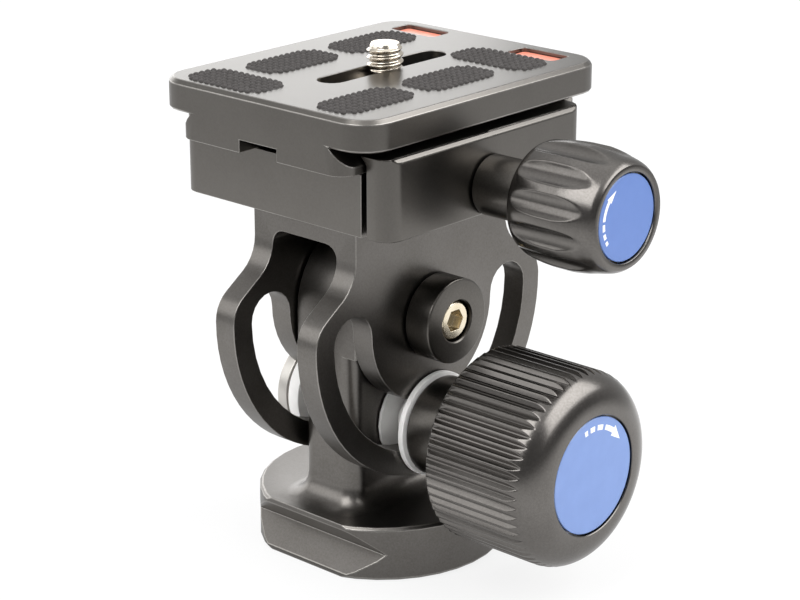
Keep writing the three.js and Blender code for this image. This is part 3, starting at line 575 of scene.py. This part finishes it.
# %% Bolt and pivot pin
LARGE_RIM = 0.35
HEAD_START, HEAD_END, HEAD_RADIUS = -17.4, -14.9, 9.2
SHANK_END, SHANK_RADIUS, SHANK_CHAMFER = 38, 3, 0.4
PIN_START, PIN_RADIUS, PIN_CHAMFER = -17.2, 4, 0.3
BOSS_START, BOSS_END, BOSS_RADIUS = 12.3, 17.6, 7.55
HOLLOW_FLOOR, HOLLOW_RADIUS, HOLLOW_CHAMFER, HOLLOW_MOUTH = 14.2, 3.74, 0.2, 3.95

turned("lock_bolt", satin_steel, [
    (HEAD_START, 0),
    *rim_profile(HEAD_START, HEAD_END, HEAD_RADIUS, LARGE_RIM),
    (HEAD_END, SHANK_RADIUS), (SHANK_END - SHANK_CHAMFER, SHANK_RADIUS),
    (SHANK_END, SHANK_RADIUS - SHANK_CHAMFER), (SHANK_END, 0),
])
turned("pivot_pin", turned_black, [
    (PIN_START, 0), (PIN_START, PIN_RADIUS - PIN_CHAMFER), (PIN_START + PIN_CHAMFER, PIN_RADIUS),
    (BOSS_START, PIN_RADIUS),
    *rim_profile(BOSS_START, BOSS_END, BOSS_RADIUS, LARGE_RIM),
    (BOSS_END, HOLLOW_MOUTH), (BOSS_END - HOLLOW_CHAMFER, HOLLOW_RADIUS),
    (HOLLOW_FLOOR, HOLLOW_RADIUS), (HOLLOW_FLOOR, 0),
])
print("bolt head is", 2 * HEAD_RADIUS, "mm wide and the boss", 2 * BOSS_RADIUS, "mm")

# %% [markdown]
# ## Lock knob
# The big knob is a turned barrel with sixty V grooves milled along it, so that narrow lands are
# left between them for the fingers. Sixty Boolean cuts would be slow and leave ragged faces, so a
# groove is written as a radius for every direction round the knob. It is drawn at chosen shares
# of its pitch, counted from the middle of the land, and they lie closest at its sharp edges.

# %% Lock knob's grooves
GROOVES = 60
GROOVE_DEPTH = 0.6 * MM
FLOOR_SHARE = 0.44
LAND_SHARE = 0.043
LAND_RISE = 0.1 * MM
FIRST_LAND = 2.3 / 6
half_shares = [0.05, 0.085, 0.11, 0.15, 0.21, 0.28, 0.35, 0.405, FLOOR_SHARE, 0.46]

low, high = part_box("lock_knob")
knob_start, knob_end = low.x, high.x
knob_middle = middle_of("lock_bolt")
knob_radius = high.z - knob_middle.z

shares = np.array([-0.5] + [-share for share in half_shares[::-1]] + [0] + half_shares)
turns = (np.arange(GROOVES)[:, None] + shares[None, :] + FIRST_LAND).ravel() / GROOVES
angles = 2 * math.pi * turns
climb = np.clip((FLOOR_SHARE - np.abs(shares)) / (FLOOR_SHARE - LAND_SHARE), 0, 1)
toothed = np.tile(knob_radius - GROOVE_DEPTH + climb * (GROOVE_DEPTH + LAND_RISE), GROOVES)
print(GROOVES, "grooves on a radius of", round(knob_radius / MM, 1), "mm")

# %% [markdown]
# The knob's plain outline, without grooves, goes from a small chamfer at the back along the barrel
# and rolls over at the front into a dome. Each point is a place along the knob and its radius.

# %% Lock knob's outline
BARREL_START = 1.5 * MM
BARREL_STEPS = 6
DOME_LENGTH = 5.5 * MM
DOME_STEPS = 45
FACE_RADIUS = 11 * MM

dome_start = knob_end - DOME_LENGTH
plain = [(knob_start + GROOVE_DEPTH * t, knob_radius - GROOVE_DEPTH * (1 - t)) for t in (0, 0.3, 0.6, 1)]
plain += [(x, knob_radius) for x in np.linspace(knob_start + BARREL_START, dome_start, BARREL_STEPS)]
for angle in np.linspace(0, math.pi / 2, DOME_STEPS)[1:]:
    plain.append((
        dome_start + DOME_LENGTH * math.sin(angle),
        FACE_RADIUS + (knob_radius - FACE_RADIUS) * math.cos(angle),
    ))
print("the outline has", len(plain), "points")

# %% [markdown]
# Grooves and outline are both radii at one place on the knob, so the knob is the smaller of the
# two everywhere, and the grooves run out into the dome as pointed ends. The crossing is rounded a
# little, as polishing does. The skin starts in the bore for the bolt and its insert and ends in
# the shallow seat of the blue disc.

# %% Lock knob's skin
KNOB_POLISH = 0.025 * MM
DISC_GAP = 0.3 * MM
LOCK_CHAMFER = 0.12 * MM
BOLT_HOLE = 3.3 * MM
BOLT_REACH = 2 * MM


def softly_least(a, b, round_off):
    """The smaller of two radii, with the crossing rounded off by about that length."""
    low, high = np.minimum(a, b), np.maximum(a, b)
    return low - round_off * np.log1p(np.exp(-(high - low) / round_off))


def disc_seat(end, radius, floor, chamfer):
    """The shallow seat of an end disc: a small chamfer, a wall and a closed floor."""
    return [(end, radius + chamfer), (end - chamfer, radius), (floor, radius), (floor, 0)]


pocket = half_height("lock_insert") + DISC_GAP
pocket_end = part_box("lock_insert")[1].x + DISC_GAP
bore_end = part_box("lock_bolt")[1].x + BOLT_REACH
recess = half_height("lock_knob_disc") + DISC_GAP
recess_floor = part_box("lock_knob_disc")[0].x - DISC_GAP
profile = [
    (bore_end, 0), (bore_end, BOLT_HOLE), (pocket_end, BOLT_HOLE),
    (pocket_end, pocket), (knob_start, pocket),
]
profile += [(x, softly_least(np.full(len(angles), radius), toothed, KNOB_POLISH)) for x, radius in plain]
profile += disc_seat(knob_end, recess, recess_floor, LOCK_CHAMFER)
lock_knob = skin("lock_knob_grooved", rings_across(profile, angles, knob_middle))
finish_piece(lock_knob, "lock_knob", knob_black)
print("lock knob faces:", len(lock_knob.data.polygons))

# %% [markdown]
# ## Clamp knob
# The small knob is a barrel that swells in the middle. Its outline is a list of places along the
# knob, each with its share of the swell. Straight lines between them would show as rings in the
# gloss, so a smooth curve is drawn through them.

# %% Clamp knob's barrel
BACK_RADIUS = 8 * MM
FRONT_RADIUS = 8.6 * MM
BARREL_RINGS = 130
swell_shares = [
    (0, 0), (0.02, 0.35), (0.06, 0.59), (0.13, 0.78), (0.21, 0.88), (0.32, 0.96), (0.43, 1), (0.5, 1),
    (0.58, 1), (0.67, 0.92), (0.76, 0.78), (0.83, 0.61), (0.9, 0.46), (0.95, 0.31), (0.98, 0.15), (1, 0),
]


def smooth_through(points, places):
    """A curve that passes through every point without overshoot, from Hermite pieces."""
    xs, ys = np.array(points).T
    slopes = np.diff(ys) / np.diff(xs)
    inner = [0 if a * b <= 0 else 2 * a * b / (a + b) for a, b in zip(slopes[:-1], slopes[1:])]
    tangents = np.concatenate([slopes[:1], inner, slopes[-1:]])
    index = np.clip(np.searchsorted(xs, places) - 1, 0, len(xs) - 2)
    width = xs[index + 1] - xs[index]
    t = (places - xs[index]) / width
    return (
        (2 * t**3 - 3 * t**2 + 1) * ys[index]
        + (t**3 - 2 * t**2 + t) * width * tangents[index]
        + (3 * t**2 - 2 * t**3) * ys[index + 1]
        + (t**3 - t**2) * width * tangents[index + 1]
    )


start, end = [corner.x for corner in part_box("clamp_knob")]
belly = half_height("clamp_knob")
places = (1 - np.cos(np.linspace(0, math.pi, BARREL_RINGS))) / 2
ends = np.where(places < 0.5, BACK_RADIUS, FRONT_RADIUS)
barrel = ends + (belly - ends) * smooth_through(swell_shares, places)
print("barrel radius from", round(barrel.min() / MM, 1), "to", round(barrel.max() / MM, 1), "mm")

# %% [markdown]
# Twelve finger flutes run along the barrel. Each one is the round side of a milling cutter that
# passed along the knob, so it is deep in the belly and runs out at both ends. Seen from the axis,
# the flute's near wall is the near crossing of a ray with that cutter's circle. As on the lock
# knob, the smaller of barrel and flute is the knob's surface.

# %% Clamp knob's flutes and skin
FLUTES = 12
FLUTE_RADIUS = 2.9 * MM
FLUTE_DEPTH = 0.95 * MM
FIRST_FLUTE = math.radians(180 - 13.5)
FLUTE_POLISH = 0.07 * MM
COLUMNS_PER_FLUTE = 38
KNOB_CREASE = math.radians(70)
CLAMP_CHAMFER = 0.1 * MM

angles = full_circle(FLUTES * COLUMNS_PER_FLUTE)
off = (angles - FIRST_FLUTE + math.pi / FLUTES) % (2 * math.pi / FLUTES) - math.pi / FLUTES
cutter = belly - FLUTE_DEPTH + FLUTE_RADIUS
inside = FLUTE_RADIUS**2 - (cutter * np.sin(off))**2
no_flute = 2 * belly
fluted = np.where(inside > 0, cutter * np.cos(off) - np.sqrt(np.maximum(inside, 0)), no_flute)

bore = half_height("clamp_spindle") + DISC_GAP
bore_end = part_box("clamp_spindle")[1].x + DISC_GAP
recess = half_height("clamp_knob_disc") + DISC_GAP
recess_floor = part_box("clamp_knob_disc")[0].x - DISC_GAP
profile = [(bore_end, 0), (bore_end, bore), (start, bore)]
profile += [
    (start + (end - start) * place, softly_least(np.full(len(angles), radius), fluted, FLUTE_POLISH))
    for place, radius in zip(places, barrel)
]
profile += disc_seat(end, recess, recess_floor, CLAMP_CHAMFER)
clamp_knob = skin("clamp_knob_fluted", rings_across(profile, angles, middle_of("clamp_spindle")))
finish_piece(clamp_knob, "clamp_knob", knob_black)
smooth_shading(clamp_knob.data, KNOB_CREASE)
print("clamp knob faces:", len(clamp_knob.data.polygons))

# %% [markdown]
# ## Blue discs
# A thin lacquered disc closes each knob. It is a short turned form like the washers, with a fine
# bevel that catches the light as a bright line.

# %% Blue discs
DISC_BEVEL = 0.1 * MM
DISC_STEPS = 96


def blue_disc(node, lacquer):
    low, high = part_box(node)
    radius = half_height(node)
    profile = [
        (low.x, 0), (low.x, radius), (high.x - DISC_BEVEL, radius),
        (high.x, radius - DISC_BEVEL), (high.x, 0),
    ]
    rings = rings_across(profile, full_circle(DISC_STEPS), middle_of(node))
    return finish_piece(skin(node + "_lacquered", rings), node, lacquer)


blue_disc("lock_knob_disc", blue_lacquer)
blue_disc("clamp_knob_disc", deep_blue_lacquer)
print("disc radii in mm:", [round(half_height(name + "_knob_disc") / MM, 1) for name in ("lock", "clamp")])

# %% [markdown]
# ## Turn arrows
# On each disc a curved white arrow shows which way to turn, made of short bars that grow towards
# the head. The marks are real plates a few hundredths of a millimetre thick, so they stay sharp at
# any size. Both arrows are plain ones of this model's own.

# %% Turn arrows
MARK_HEIGHT = 0.03 * MM
ARC_STEPS = 10
ARROW_PLACE = 0.82
HEAD_WIDTH = 2.1


def flat_mark(name, outline, body_node, bottom_x):
    """A thin plate with an outline of Y and Z pairs, standing on a face that looks along +X."""
    form = bmesh.new()
    bottom = [form.verts.new((bottom_x, y, z)) for y, z in outline]
    top = [form.verts.new((bottom_x + MARK_HEIGHT, y, z)) for y, z in outline]
    form.faces.new(top)
    form.faces.new(bottom[::-1])
    for i in range(len(outline)):
        j = (i + 1) % len(outline)
        form.faces.new((bottom[i], bottom[j], top[j], top[i]))
    bmesh.ops.recalc_face_normals(form, faces=form.faces)
    mesh = bpy.data.meshes.new(name)
    form.to_mesh(mesh)
    form.free()
    piece = bpy.data.objects.new(name, mesh)
    bpy.context.scene.collection.objects.link(piece)
    mesh.materials.append(white_print)
    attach(piece, body_of(frame["nodes"][body_node])[0])
    return piece


def on_disc(centre, radius, degrees):
    """A place on a disc, as Y and Z. Angle 0 points along +Y and 90 points up."""
    turn = math.radians(degrees)
    return centre.y + radius * math.cos(turn), centre.z + radius * math.sin(turn)


def arc_band(centre, radius, width, start, end):
    places = np.linspace(start, end, ARC_STEPS + 1)
    outer = [on_disc(centre, radius + width / 2, degrees) for degrees in places]
    inner = [on_disc(centre, radius - width / 2, degrees) for degrees in places]
    return outer + inner[::-1]


def arrow_head(centre, radius, width, start, end):
    """A triangle on the arc, with its base at start and its point at end."""
    base = [on_disc(centre, r, start) for r in (radius - width / 2, radius + width / 2)]
    return base + [on_disc(centre, radius, end)]


def turn_arrow(node, name, width_share, bars, head):
    """Bars and head are pairs of angles in degrees, in the order in which the arrow points."""
    centre, top = middle_of(node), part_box(node)[1].x
    arc, width = half_height(node) * ARROW_PLACE, half_height(node) * width_share
    for number, (start, end) in enumerate(bars, 1):
        flat_mark(f"{name}_bar_{number}", arc_band(centre, arc, width, start, end), node, top)
    flat_mark(f"{name}_head", arrow_head(centre, arc, width * HEAD_WIDTH, *head), node, top)


lock_bars = [(107, 102), (97, 89), (84, 74), (69, 52)]
clamp_bars = [(216, 209), (204, 195), (190, 179), (174, 142)]
turn_arrow("lock_knob_disc", "lock_arrow", 0.09, lock_bars, (52, 33))
turn_arrow("clamp_knob_disc", "clamp_arrow", 0.085, clamp_bars, (142, 120))
print("bars made:", len(lock_bars) + len(clamp_bars))

# %% [markdown]
# ## Outlines of the grip pads
# A pad is a rounded rectangle. Two small functions tell how deep a place lies inside such an
# outline and move a place straight in until it is deep enough. A third one draws the outline.

# %% Rounded rectangles
CORNER_STEPS = 6


def inside_rounded(x, y, half_x, half_y, corner):
    """How far a place lies inside a rounded rectangle about the origin: negative outside."""
    away_x, away_y = abs(x) - (half_x - corner), abs(y) - (half_y - corner)
    if away_x > 0 and away_y > 0:
        return corner - math.hypot(away_x, away_y)
    return min(half_x - abs(x), half_y - abs(y))


def moved_inside(x, y, half_x, half_y, corner, reach):
    """The place moved straight in from the outline until it lies as deep as the reach."""
    def depth(i, j):
        return inside_rounded(i, j, half_x, half_y, corner)
    nudge = 0.01 * MM
    lack = max(0, reach - depth(x, y))
    slope_x = (depth(x + nudge, y) - depth(x - nudge, y)) / (2 * nudge)
    slope_y = (depth(x, y + nudge) - depth(x, y - nudge)) / (2 * nudge)
    return x + slope_x * lack, y + slope_y * lack


def rounded_ring(centre, half_x, half_y, corner, z):
    ring = []
    for quarter, (sx, sy) in enumerate([(1, 1), (-1, 1), (-1, -1), (1, -1)]):
        for i in range(CORNER_STEPS + 1):
            angle = (quarter + i / CORNER_STEPS) * math.pi / 2
            ring.append((
                centre.x + sx * (half_x - corner) + corner * math.cos(angle),
                centre.y + sy * (half_y - corner) + corner * math.sin(angle),
                z,
            ))
    return np.array(ring)


def half_sizes(node):
    low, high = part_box(node)
    return (high.x - low.x) / 2, (high.y - low.y) / 2


print("a pad is", [round(2 * half / MM, 1) for half in half_sizes("grip_pad_1")], "mm")

# %% [markdown]
# ## Grip pads
# Each rubber pad is moulded with small blunt points on a square grid. The points at the rim are
# whole, which gives the pad its scalloped edge. A bump map would leave the rim smooth, so the
# points are modelled one by one and stand on a thin sheet. Their upper faces take a light grey
# rubber finish that paints in the light falling on the tips.

# %% Grip pads
KNURL_STEP = 1.36 * MM
POINT_REACH = 0.6 * MM
POINT_STEPS = 8
POINT_ROOT = 0.1 * MM
RIM_SHARE = -0.1
PAD_CORNER = 4 * MM
PAD_CREASE = math.radians(50)
SHEET_INSET = 0.3 * MM
SHEET_RISE = 0.02 * MM
point_profile = [(1.0, 0.0), (0.9, 0.4), (0.62, 0.8), (0.3, 1.0)]
plate_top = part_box("quick_plate")[1].z


def add_point(form, x, y, root, top):
    """One point from its root to its top. The profile gives shares of its reach and height."""
    loops = [
        [
            form.verts.new((
                x + POINT_REACH * reach * math.cos(2 * math.pi * k / POINT_STEPS),
                y + POINT_REACH * reach * math.sin(2 * math.pi * k / POINT_STEPS),
                root + (top - root) * rise,
            ))
            for k in range(POINT_STEPS)
        ]
        for reach, rise in point_profile
    ]
    # The faces near the top of each point take the tip finish, a painted highlight.
    painted_light_level = len(loops) - 2
    for level, (a, b) in enumerate(zip(loops, loops[1:])):
        for k in range(POINT_STEPS):
            m = (k + 1) % POINT_STEPS
            form.faces.new((a[k], a[m], b[m], b[k])).material_index = int(level == painted_light_level)
    form.faces.new(loops[-1]).material_index = 1
    form.faces.new(loops[0][::-1])


def knurled_pad(node):
    low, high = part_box(node)
    centre = middle_of(node)
    half_x, half_y = half_sizes(node)
    sheet_top = plate_top + SHEET_RISE
    inset = (half_x - SHEET_INSET, half_y - SHEET_INSET, PAD_CORNER - SHEET_INSET)
    rings = [
        rounded_ring(centre, *size, z)
        for size, z in (((0, 0, 0), low.z), (inset, low.z), (inset, sheet_top), ((0, 0, 0), sheet_top))
    ]
    sheet = skin(node + "_knurled", rings)
    form = bmesh.new()
    form.from_mesh(sheet.data)
    across, along = int(half_x / KNURL_STEP) + 1, int(half_y / KNURL_STEP) + 1
    count = 0
    for i in range(-across, across + 1):
        for j in range(-along, along + 1):
            x, y = i * KNURL_STEP, j * KNURL_STEP
            if inside_rounded(x, y, half_x, half_y, PAD_CORNER) < RIM_SHARE * KNURL_STEP:
                continue
            x, y = moved_inside(x, y, half_x, half_y, PAD_CORNER, POINT_REACH)
            add_point(form, centre.x + x, centre.y + y, sheet_top - POINT_ROOT, high.z)
            count += 1
    form.to_mesh(sheet.data)
    form.free()
    smooth_shading(sheet.data, PAD_CREASE)
    finish_piece(sheet, node, gaps_of_rubber)
    sheet.data.materials.append(rubber_tips_painted_light)
    return count


pads = [f"grip_pad_{number}" for number in range(1, 7)]
print("points on each pad:", [knurled_pad(pad) for pad in pads])

# %% [markdown]
# ## Seats of the grip pads
# The engineering model leaves a clearance round each pad, and a real pad fills its recess. A thin
# ring of plate metal round the pad closes that clearance. It lies a hair above the plate, so that
# the two faces don't flicker, and it laps the recess's edge.

# %% Pad seats
SEAT_GAP = 0.3 * MM
SEAT_LAP = 0.2 * MM
SEAT_DEPTH = 0.4 * MM
SEAT_RISE = 0.003 * MM
SEAT_UNDER = 0.05 * MM


def pad_seat(node):
    half_x, half_y = half_sizes(node)
    top = plate_top + SEAT_RISE
    outer, inner = SEAT_GAP + SEAT_LAP, -SHEET_INSET - SEAT_UNDER
    rings = [
        rounded_ring(middle_of(node), half_x + grow, half_y + grow, PAD_CORNER + grow, z)
        for grow, z in ((outer, top - SEAT_DEPTH), (outer, top), (inner, top), (inner, top - SEAT_DEPTH))
    ]
    seat = skin(node + "_seat", rings + rings[:1])
    seat.data.materials.append(milled_black)
    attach(seat, body_of(frame["nodes"]["quick_plate"])[0])


for pad in pads:
    pad_seat(pad)
print("a seat reaches", round((SEAT_GAP + SEAT_LAP) / MM, 2), "mm past its pad")

# %% [markdown]
# ## Camera screw
# The camera screw has a standard photo thread, 6.35 mm over the crests with a pitch of 1.27 mm. A
# thread is a bump that climbs as it goes round: at each place the radius depends only on the
# height less the share of a turn. It fades in at both ends, as a cut thread does. Below it a thin
# neck lets the screw hang in its slot, and the head with the coin slot keeps its frame shape.

# %% Camera screw
SCREW_PITCH = 1.27 * MM
CREST_RADIUS = 3.17 * MM
CORE_RADIUS = 2.66 * MM
TOP_CHAMFER = 0.5 * MM
TOP_TAPER = 0.25 * MM
THREAD_FADE = 0.4 * MM
THREAD_RINGS = 130
THREAD_COLUMNS = 72
THREAD_CREASE = math.radians(60)
NECK_DROP = 0.8 * MM
HEAD_GAP = 0.02 * MM


def ring_up(z, radius, angles, centre):
    radius = np.broadcast_to(radius, angles.shape)
    return np.stack([
        centre[0] + radius * np.cos(angles),
        centre[1] + radius * np.sin(angles),
        np.full(len(angles), z),
    ], 1)


def thread_rings(low, high, angles, centre):
    """Rings up a screw thread with rounded crests."""
    made = []
    for z in np.linspace(low, high, THREAD_RINGS):
        phase = (z / SCREW_PITCH - angles / (2 * math.pi)) % 1
        ridge = np.sin(math.pi * phase) ** 3
        fade = max(0, min(1, (z - low) / THREAD_FADE, (high - z) / THREAD_FADE))
        made.append(ring_up(z, CORE_RADIUS + (CREST_RADIUS - CORE_RADIUS) * ridge * fade, angles, centre))
    return made


low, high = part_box("camera_screw")
centre = middle_of("camera_screw")
neck_top = plate_top - NECK_DROP
angles = full_circle(THREAD_COLUMNS)
rings = [
    ring_up(neck_top, 0, angles, centre),
    *thread_rings(neck_top, high.z - TOP_CHAMFER, angles, centre),
    ring_up(high.z, CORE_RADIUS - TOP_TAPER, angles, centre),
    ring_up(high.z, 0, angles, centre),
]
screw_thread = finish_piece(skin("camera_screw_thread", rings), "camera_screw", nickel)
smooth_shading(screw_thread.data, THREAD_CREASE)
print("camera screw from", round(low.z / MM, 1), "to", round(high.z / MM, 1), "mm")

# %% [markdown]
# The solid screw is cut off just under the neck's top. Its lower part is the head, and the new
# thread stands for the rest.

# %% Camera screw's head
head = softened_copy("camera_screw", nickel, 0)
head.name = head.data.name = "camera_screw_head"
form = bmesh.new()
form.from_mesh(head.data)
cut = bmesh.ops.bisect_plane(
    form, geom=form.verts[:] + form.edges[:] + form.faces[:],
    plane_co=(0, 0, neck_top - HEAD_GAP), plane_no=(0, 0, 1), clear_outer=True,
)
bmesh.ops.holes_fill(form, edges=[e for e in cut["geom_cut"] if isinstance(e, bmesh.types.BMEdge)])
form.to_mesh(head.data)
form.free()
print("head faces:", len(head.data.polygons))

# %% [markdown]
# ## Floor
# The head stands on a white table. A plain sheet a hair below the foot stands for it.

# %% Floor
FLOOR_HALF = 900 * MM
FLOOR_DROP = 0.05 * MM
floor_corners = [(x * FLOOR_HALF, y * FLOOR_HALF, 0) for x, y in ((-1, -1), (1, -1), (1, 1), (-1, 1))]
floor_mesh = bpy.data.meshes.new("floor")
floor_mesh.from_pydata(floor_corners, [], [(0, 1, 2, 3)])
floor = bpy.data.objects.new("floor", floor_mesh)
floor.location.z = -FLOOR_DROP
bpy.context.scene.collection.objects.link(floor)
print("floor", 2 * FLOOR_HALF, "m wide")

# %% [markdown]
# ## White table
# Upright black faces mirror the table, so its brightness for mirror rays shapes them. That brightness
# is painted: dim close under the foot, a painted shadow of the head, full a hand's width away, and
# weak far out and towards the camera, painted shade of a dim room. The camera itself sees a plain
# pale table. Part of it glows evenly and the rest is lit, and the lit part keeps the soft shadow.

# %% Table's brightness for mirror rays
FLOOR_REACH = 400 * MM
CAMERA_SIDE = (math.sin(CAMERA_AZIMUTH), -math.cos(CAMERA_AZIMUTH), 0.0)
FADE_START = -20 * MM
FADE_END = 160 * MM
TABLE_LIGHT = 1.3
TABLE_EDGE_LIGHT = 1.0
# Each stop is a share of the reach and the brightness there
# Painted shadow and shade in the glow: dim under the foot and weak far out.
painted_shade_stops = [(0.06, 0.5), (0.22, 1.0), (0.42, 1.0), (0.75, 0.45)]

floor_finish, tree, shader = new_finish("white table")
shader.inputs["Base Color"].default_value = linear("#ececec")
shader.inputs["Roughness"].default_value = 0.9
shader.inputs["Specular IOR Level"].default_value = 0.1
place = add_node(tree, "ShaderNodeTexCoord").outputs["Object"]
distance = add_node(tree, "ShaderNodeVectorMath", {0: place}, operation="LENGTH")
share_out = add_node(
    tree, "ShaderNodeMapRange",
    {"Value": distance.outputs["Value"], "From Max": FLOOR_REACH},
)
painted_shade_by_reach = add_node(tree, "ShaderNodeValToRGB", {"Fac": share_out.outputs["Result"]})
set_ramp(painted_shade_by_reach, *painted_shade_stops)
# Painted shade in the glow: it falls off towards the camera.
forward = add_node(tree, "ShaderNodeVectorMath", {0: place, 1: CAMERA_SIDE}, operation="DOT_PRODUCT")
mirrored = add_node(
    tree, "ShaderNodeMapRange",
    {
        "Value": forward.outputs["Value"], "From Min": FADE_START, "From Max": FADE_END,
        "To Min": TABLE_LIGHT, "To Max": TABLE_EDGE_LIGHT,
    },
    interpolation_type="SMOOTHSTEP",
)
faded = add_node(
    tree, "ShaderNodeMath",
    {0: mirrored.outputs["Result"], 1: painted_shade_by_reach.outputs["Color"]}, operation="MULTIPLY",
)
print("mirror rays see the table at up to", TABLE_LIGHT)

# %% [markdown]
# Light Path tells what kind of ray asks. A camera ray gets a glow of 1, which is white, and a
# mirror ray the brightness from above. Every other ray gets the lit table alone, so the glow
# throws no light on the object.

# %% Table for camera and mirror rays
GLOW_SHARE = 0.83
ray = add_node(tree, "ShaderNodeLightPath")
brightness = add_node(
    tree, "ShaderNodeMix",
    {"Factor": ray.outputs["Is Camera Ray"], "A": faded.outputs["Value"], "B": 1.0},
)
seen = add_node(
    tree, "ShaderNodeMath",
    {0: ray.outputs["Is Camera Ray"], 1: ray.outputs["Is Glossy Ray"]}, operation="MAXIMUM",
)
share = add_node(tree, "ShaderNodeMath", {0: seen.outputs["Value"], 1: GLOW_SHARE}, operation="MULTIPLY")
glow = add_node(
    tree, "ShaderNodeEmission",
    {"Color": (1, 1, 1, 1), "Strength": brightness.outputs["Result"]},
)
mixed = add_node(
    tree, "ShaderNodeMixShader",
    {0: share.outputs["Value"], 1: shader.outputs["BSDF"], 2: glow.outputs["Emission"]},
)
tree.links.new(mixed.outputs["Shader"], tree.nodes["Material Output"].inputs["Surface"])
floor_mesh.materials.append(floor_finish)
print("share of the glow:", GLOW_SHARE)

# %% [markdown]
# ## Room
# Black metal shows only what it mirrors, so the room matters as much as the lamps. The world is a
# dim room with a brighter wall behind the object and a bright ceiling. The camera sees plain
# white past the object, and so does a ray that has gone through a clear piece.

# %% Room
WALL_DIRECTION = (-math.sin(CAMERA_AZIMUTH), math.cos(CAMERA_AZIMUTH), 0.0)
ROOM_LIGHT = 0.22
WALL_LIGHT = 0.6
WALL_START, WALL_FULL = -0.1, 0.7
CEILING_LIGHT = 0.9
CEILING_START = 0.55
world = bpy.data.worlds.new("studio")
bpy.context.scene.world = world
world.use_nodes = True
tree = world.node_tree
background = tree.nodes["Background"]
place = add_node(tree, "ShaderNodeTexCoord").outputs["Generated"]
towards = add_node(tree, "ShaderNodeVectorMath", {0: place, 1: WALL_DIRECTION}, operation="DOT_PRODUCT")
wall = add_node(
    tree, "ShaderNodeMapRange",
    {
        "Value": towards.outputs["Value"], "From Min": WALL_START, "From Max": WALL_FULL,
        "To Min": ROOM_LIGHT, "To Max": WALL_LIGHT,
    },
    interpolation_type="SMOOTHSTEP",
)
height = add_node(tree, "ShaderNodeSeparateXYZ", {"Vector": place})
ceiling = add_node(
    tree, "ShaderNodeMapRange",
    {
        "Value": height.outputs["Z"], "From Min": CEILING_START, "From Max": 1.0,
        "To Min": 0.0, "To Max": CEILING_LIGHT,
    },
    interpolation_type="SMOOTHSTEP",
)
room = add_node(
    tree, "ShaderNodeMath",
    {0: wall.outputs["Result"], 1: ceiling.outputs["Result"]}, operation="ADD",
)
ray = add_node(tree, "ShaderNodeLightPath")
straight = add_node(
    tree, "ShaderNodeMath",
    {0: ray.outputs["Is Camera Ray"], 1: ray.outputs["Is Transmission Ray"]}, operation="MAXIMUM",
)
strength = add_node(
    tree, "ShaderNodeMix",
    {"Factor": straight.outputs["Value"], "A": room.outputs["Value"], "B": 1.0},
)
tree.links.new(strength.outputs["Result"], background.inputs["Strength"])
background.inputs["Color"].default_value = (1, 1, 1, 1)
print("room light", ROOM_LIGHT, "and wall light", WALL_LIGHT)

# %% [markdown]
# ## Soft boxes
# Four bright panels face the object. A wide one high on the right and a smaller one high in front
# draw the long highlights on both knobs. A weak one low on the left fills the fork's front. The
# low wall stands behind on the left, where the flat top of the plate mirrors it towards the camera.


# %% Soft boxes
def soft_box(name, azimuth, elevation, distance, size, brightness):
    """A bright panel that faces the object. Azimuth 0 is towards +Y and 90 towards +X."""
    turn, rise = math.radians(azimuth), math.radians(elevation)
    away = Vector((math.sin(turn) * math.cos(rise), math.cos(turn) * math.cos(rise), math.sin(rise)))
    lamp = bpy.data.lights.new(name, "AREA")
    lamp.shape = "RECTANGLE"
    lamp.size, lamp.size_y = size[0] * MM, size[1] * MM
    lamp.energy = brightness * math.pi * lamp.size * lamp.size_y
    box = bpy.data.objects.new(name, lamp)
    box.location = CAMERA_AIM + away * distance * MM
    box.rotation_mode = "QUATERNION"
    box.rotation_quaternion = away.to_track_quat("Z", "Y")
    bpy.context.scene.collection.objects.link(box)


# Each row: name, azimuth and elevation in degrees, distance and size in mm, brightness
soft_boxes = [
    ("soft_box_right", 62, 43, 900, (1150, 620), 4.1),
    ("soft_box_front", 182, 46, 900, (560, 620), 4.2),
    ("soft_box_left", 222, 22, 1000, (700, 600), 1.7),
    ("low_wall", -75, 13, 620, (900, 330), 2.0),
]
for row in soft_boxes:
    soft_box(*row)

settings = bpy.context.scene.view_settings
settings.view_transform = "Standard"
print(len(soft_boxes), "panels ready")
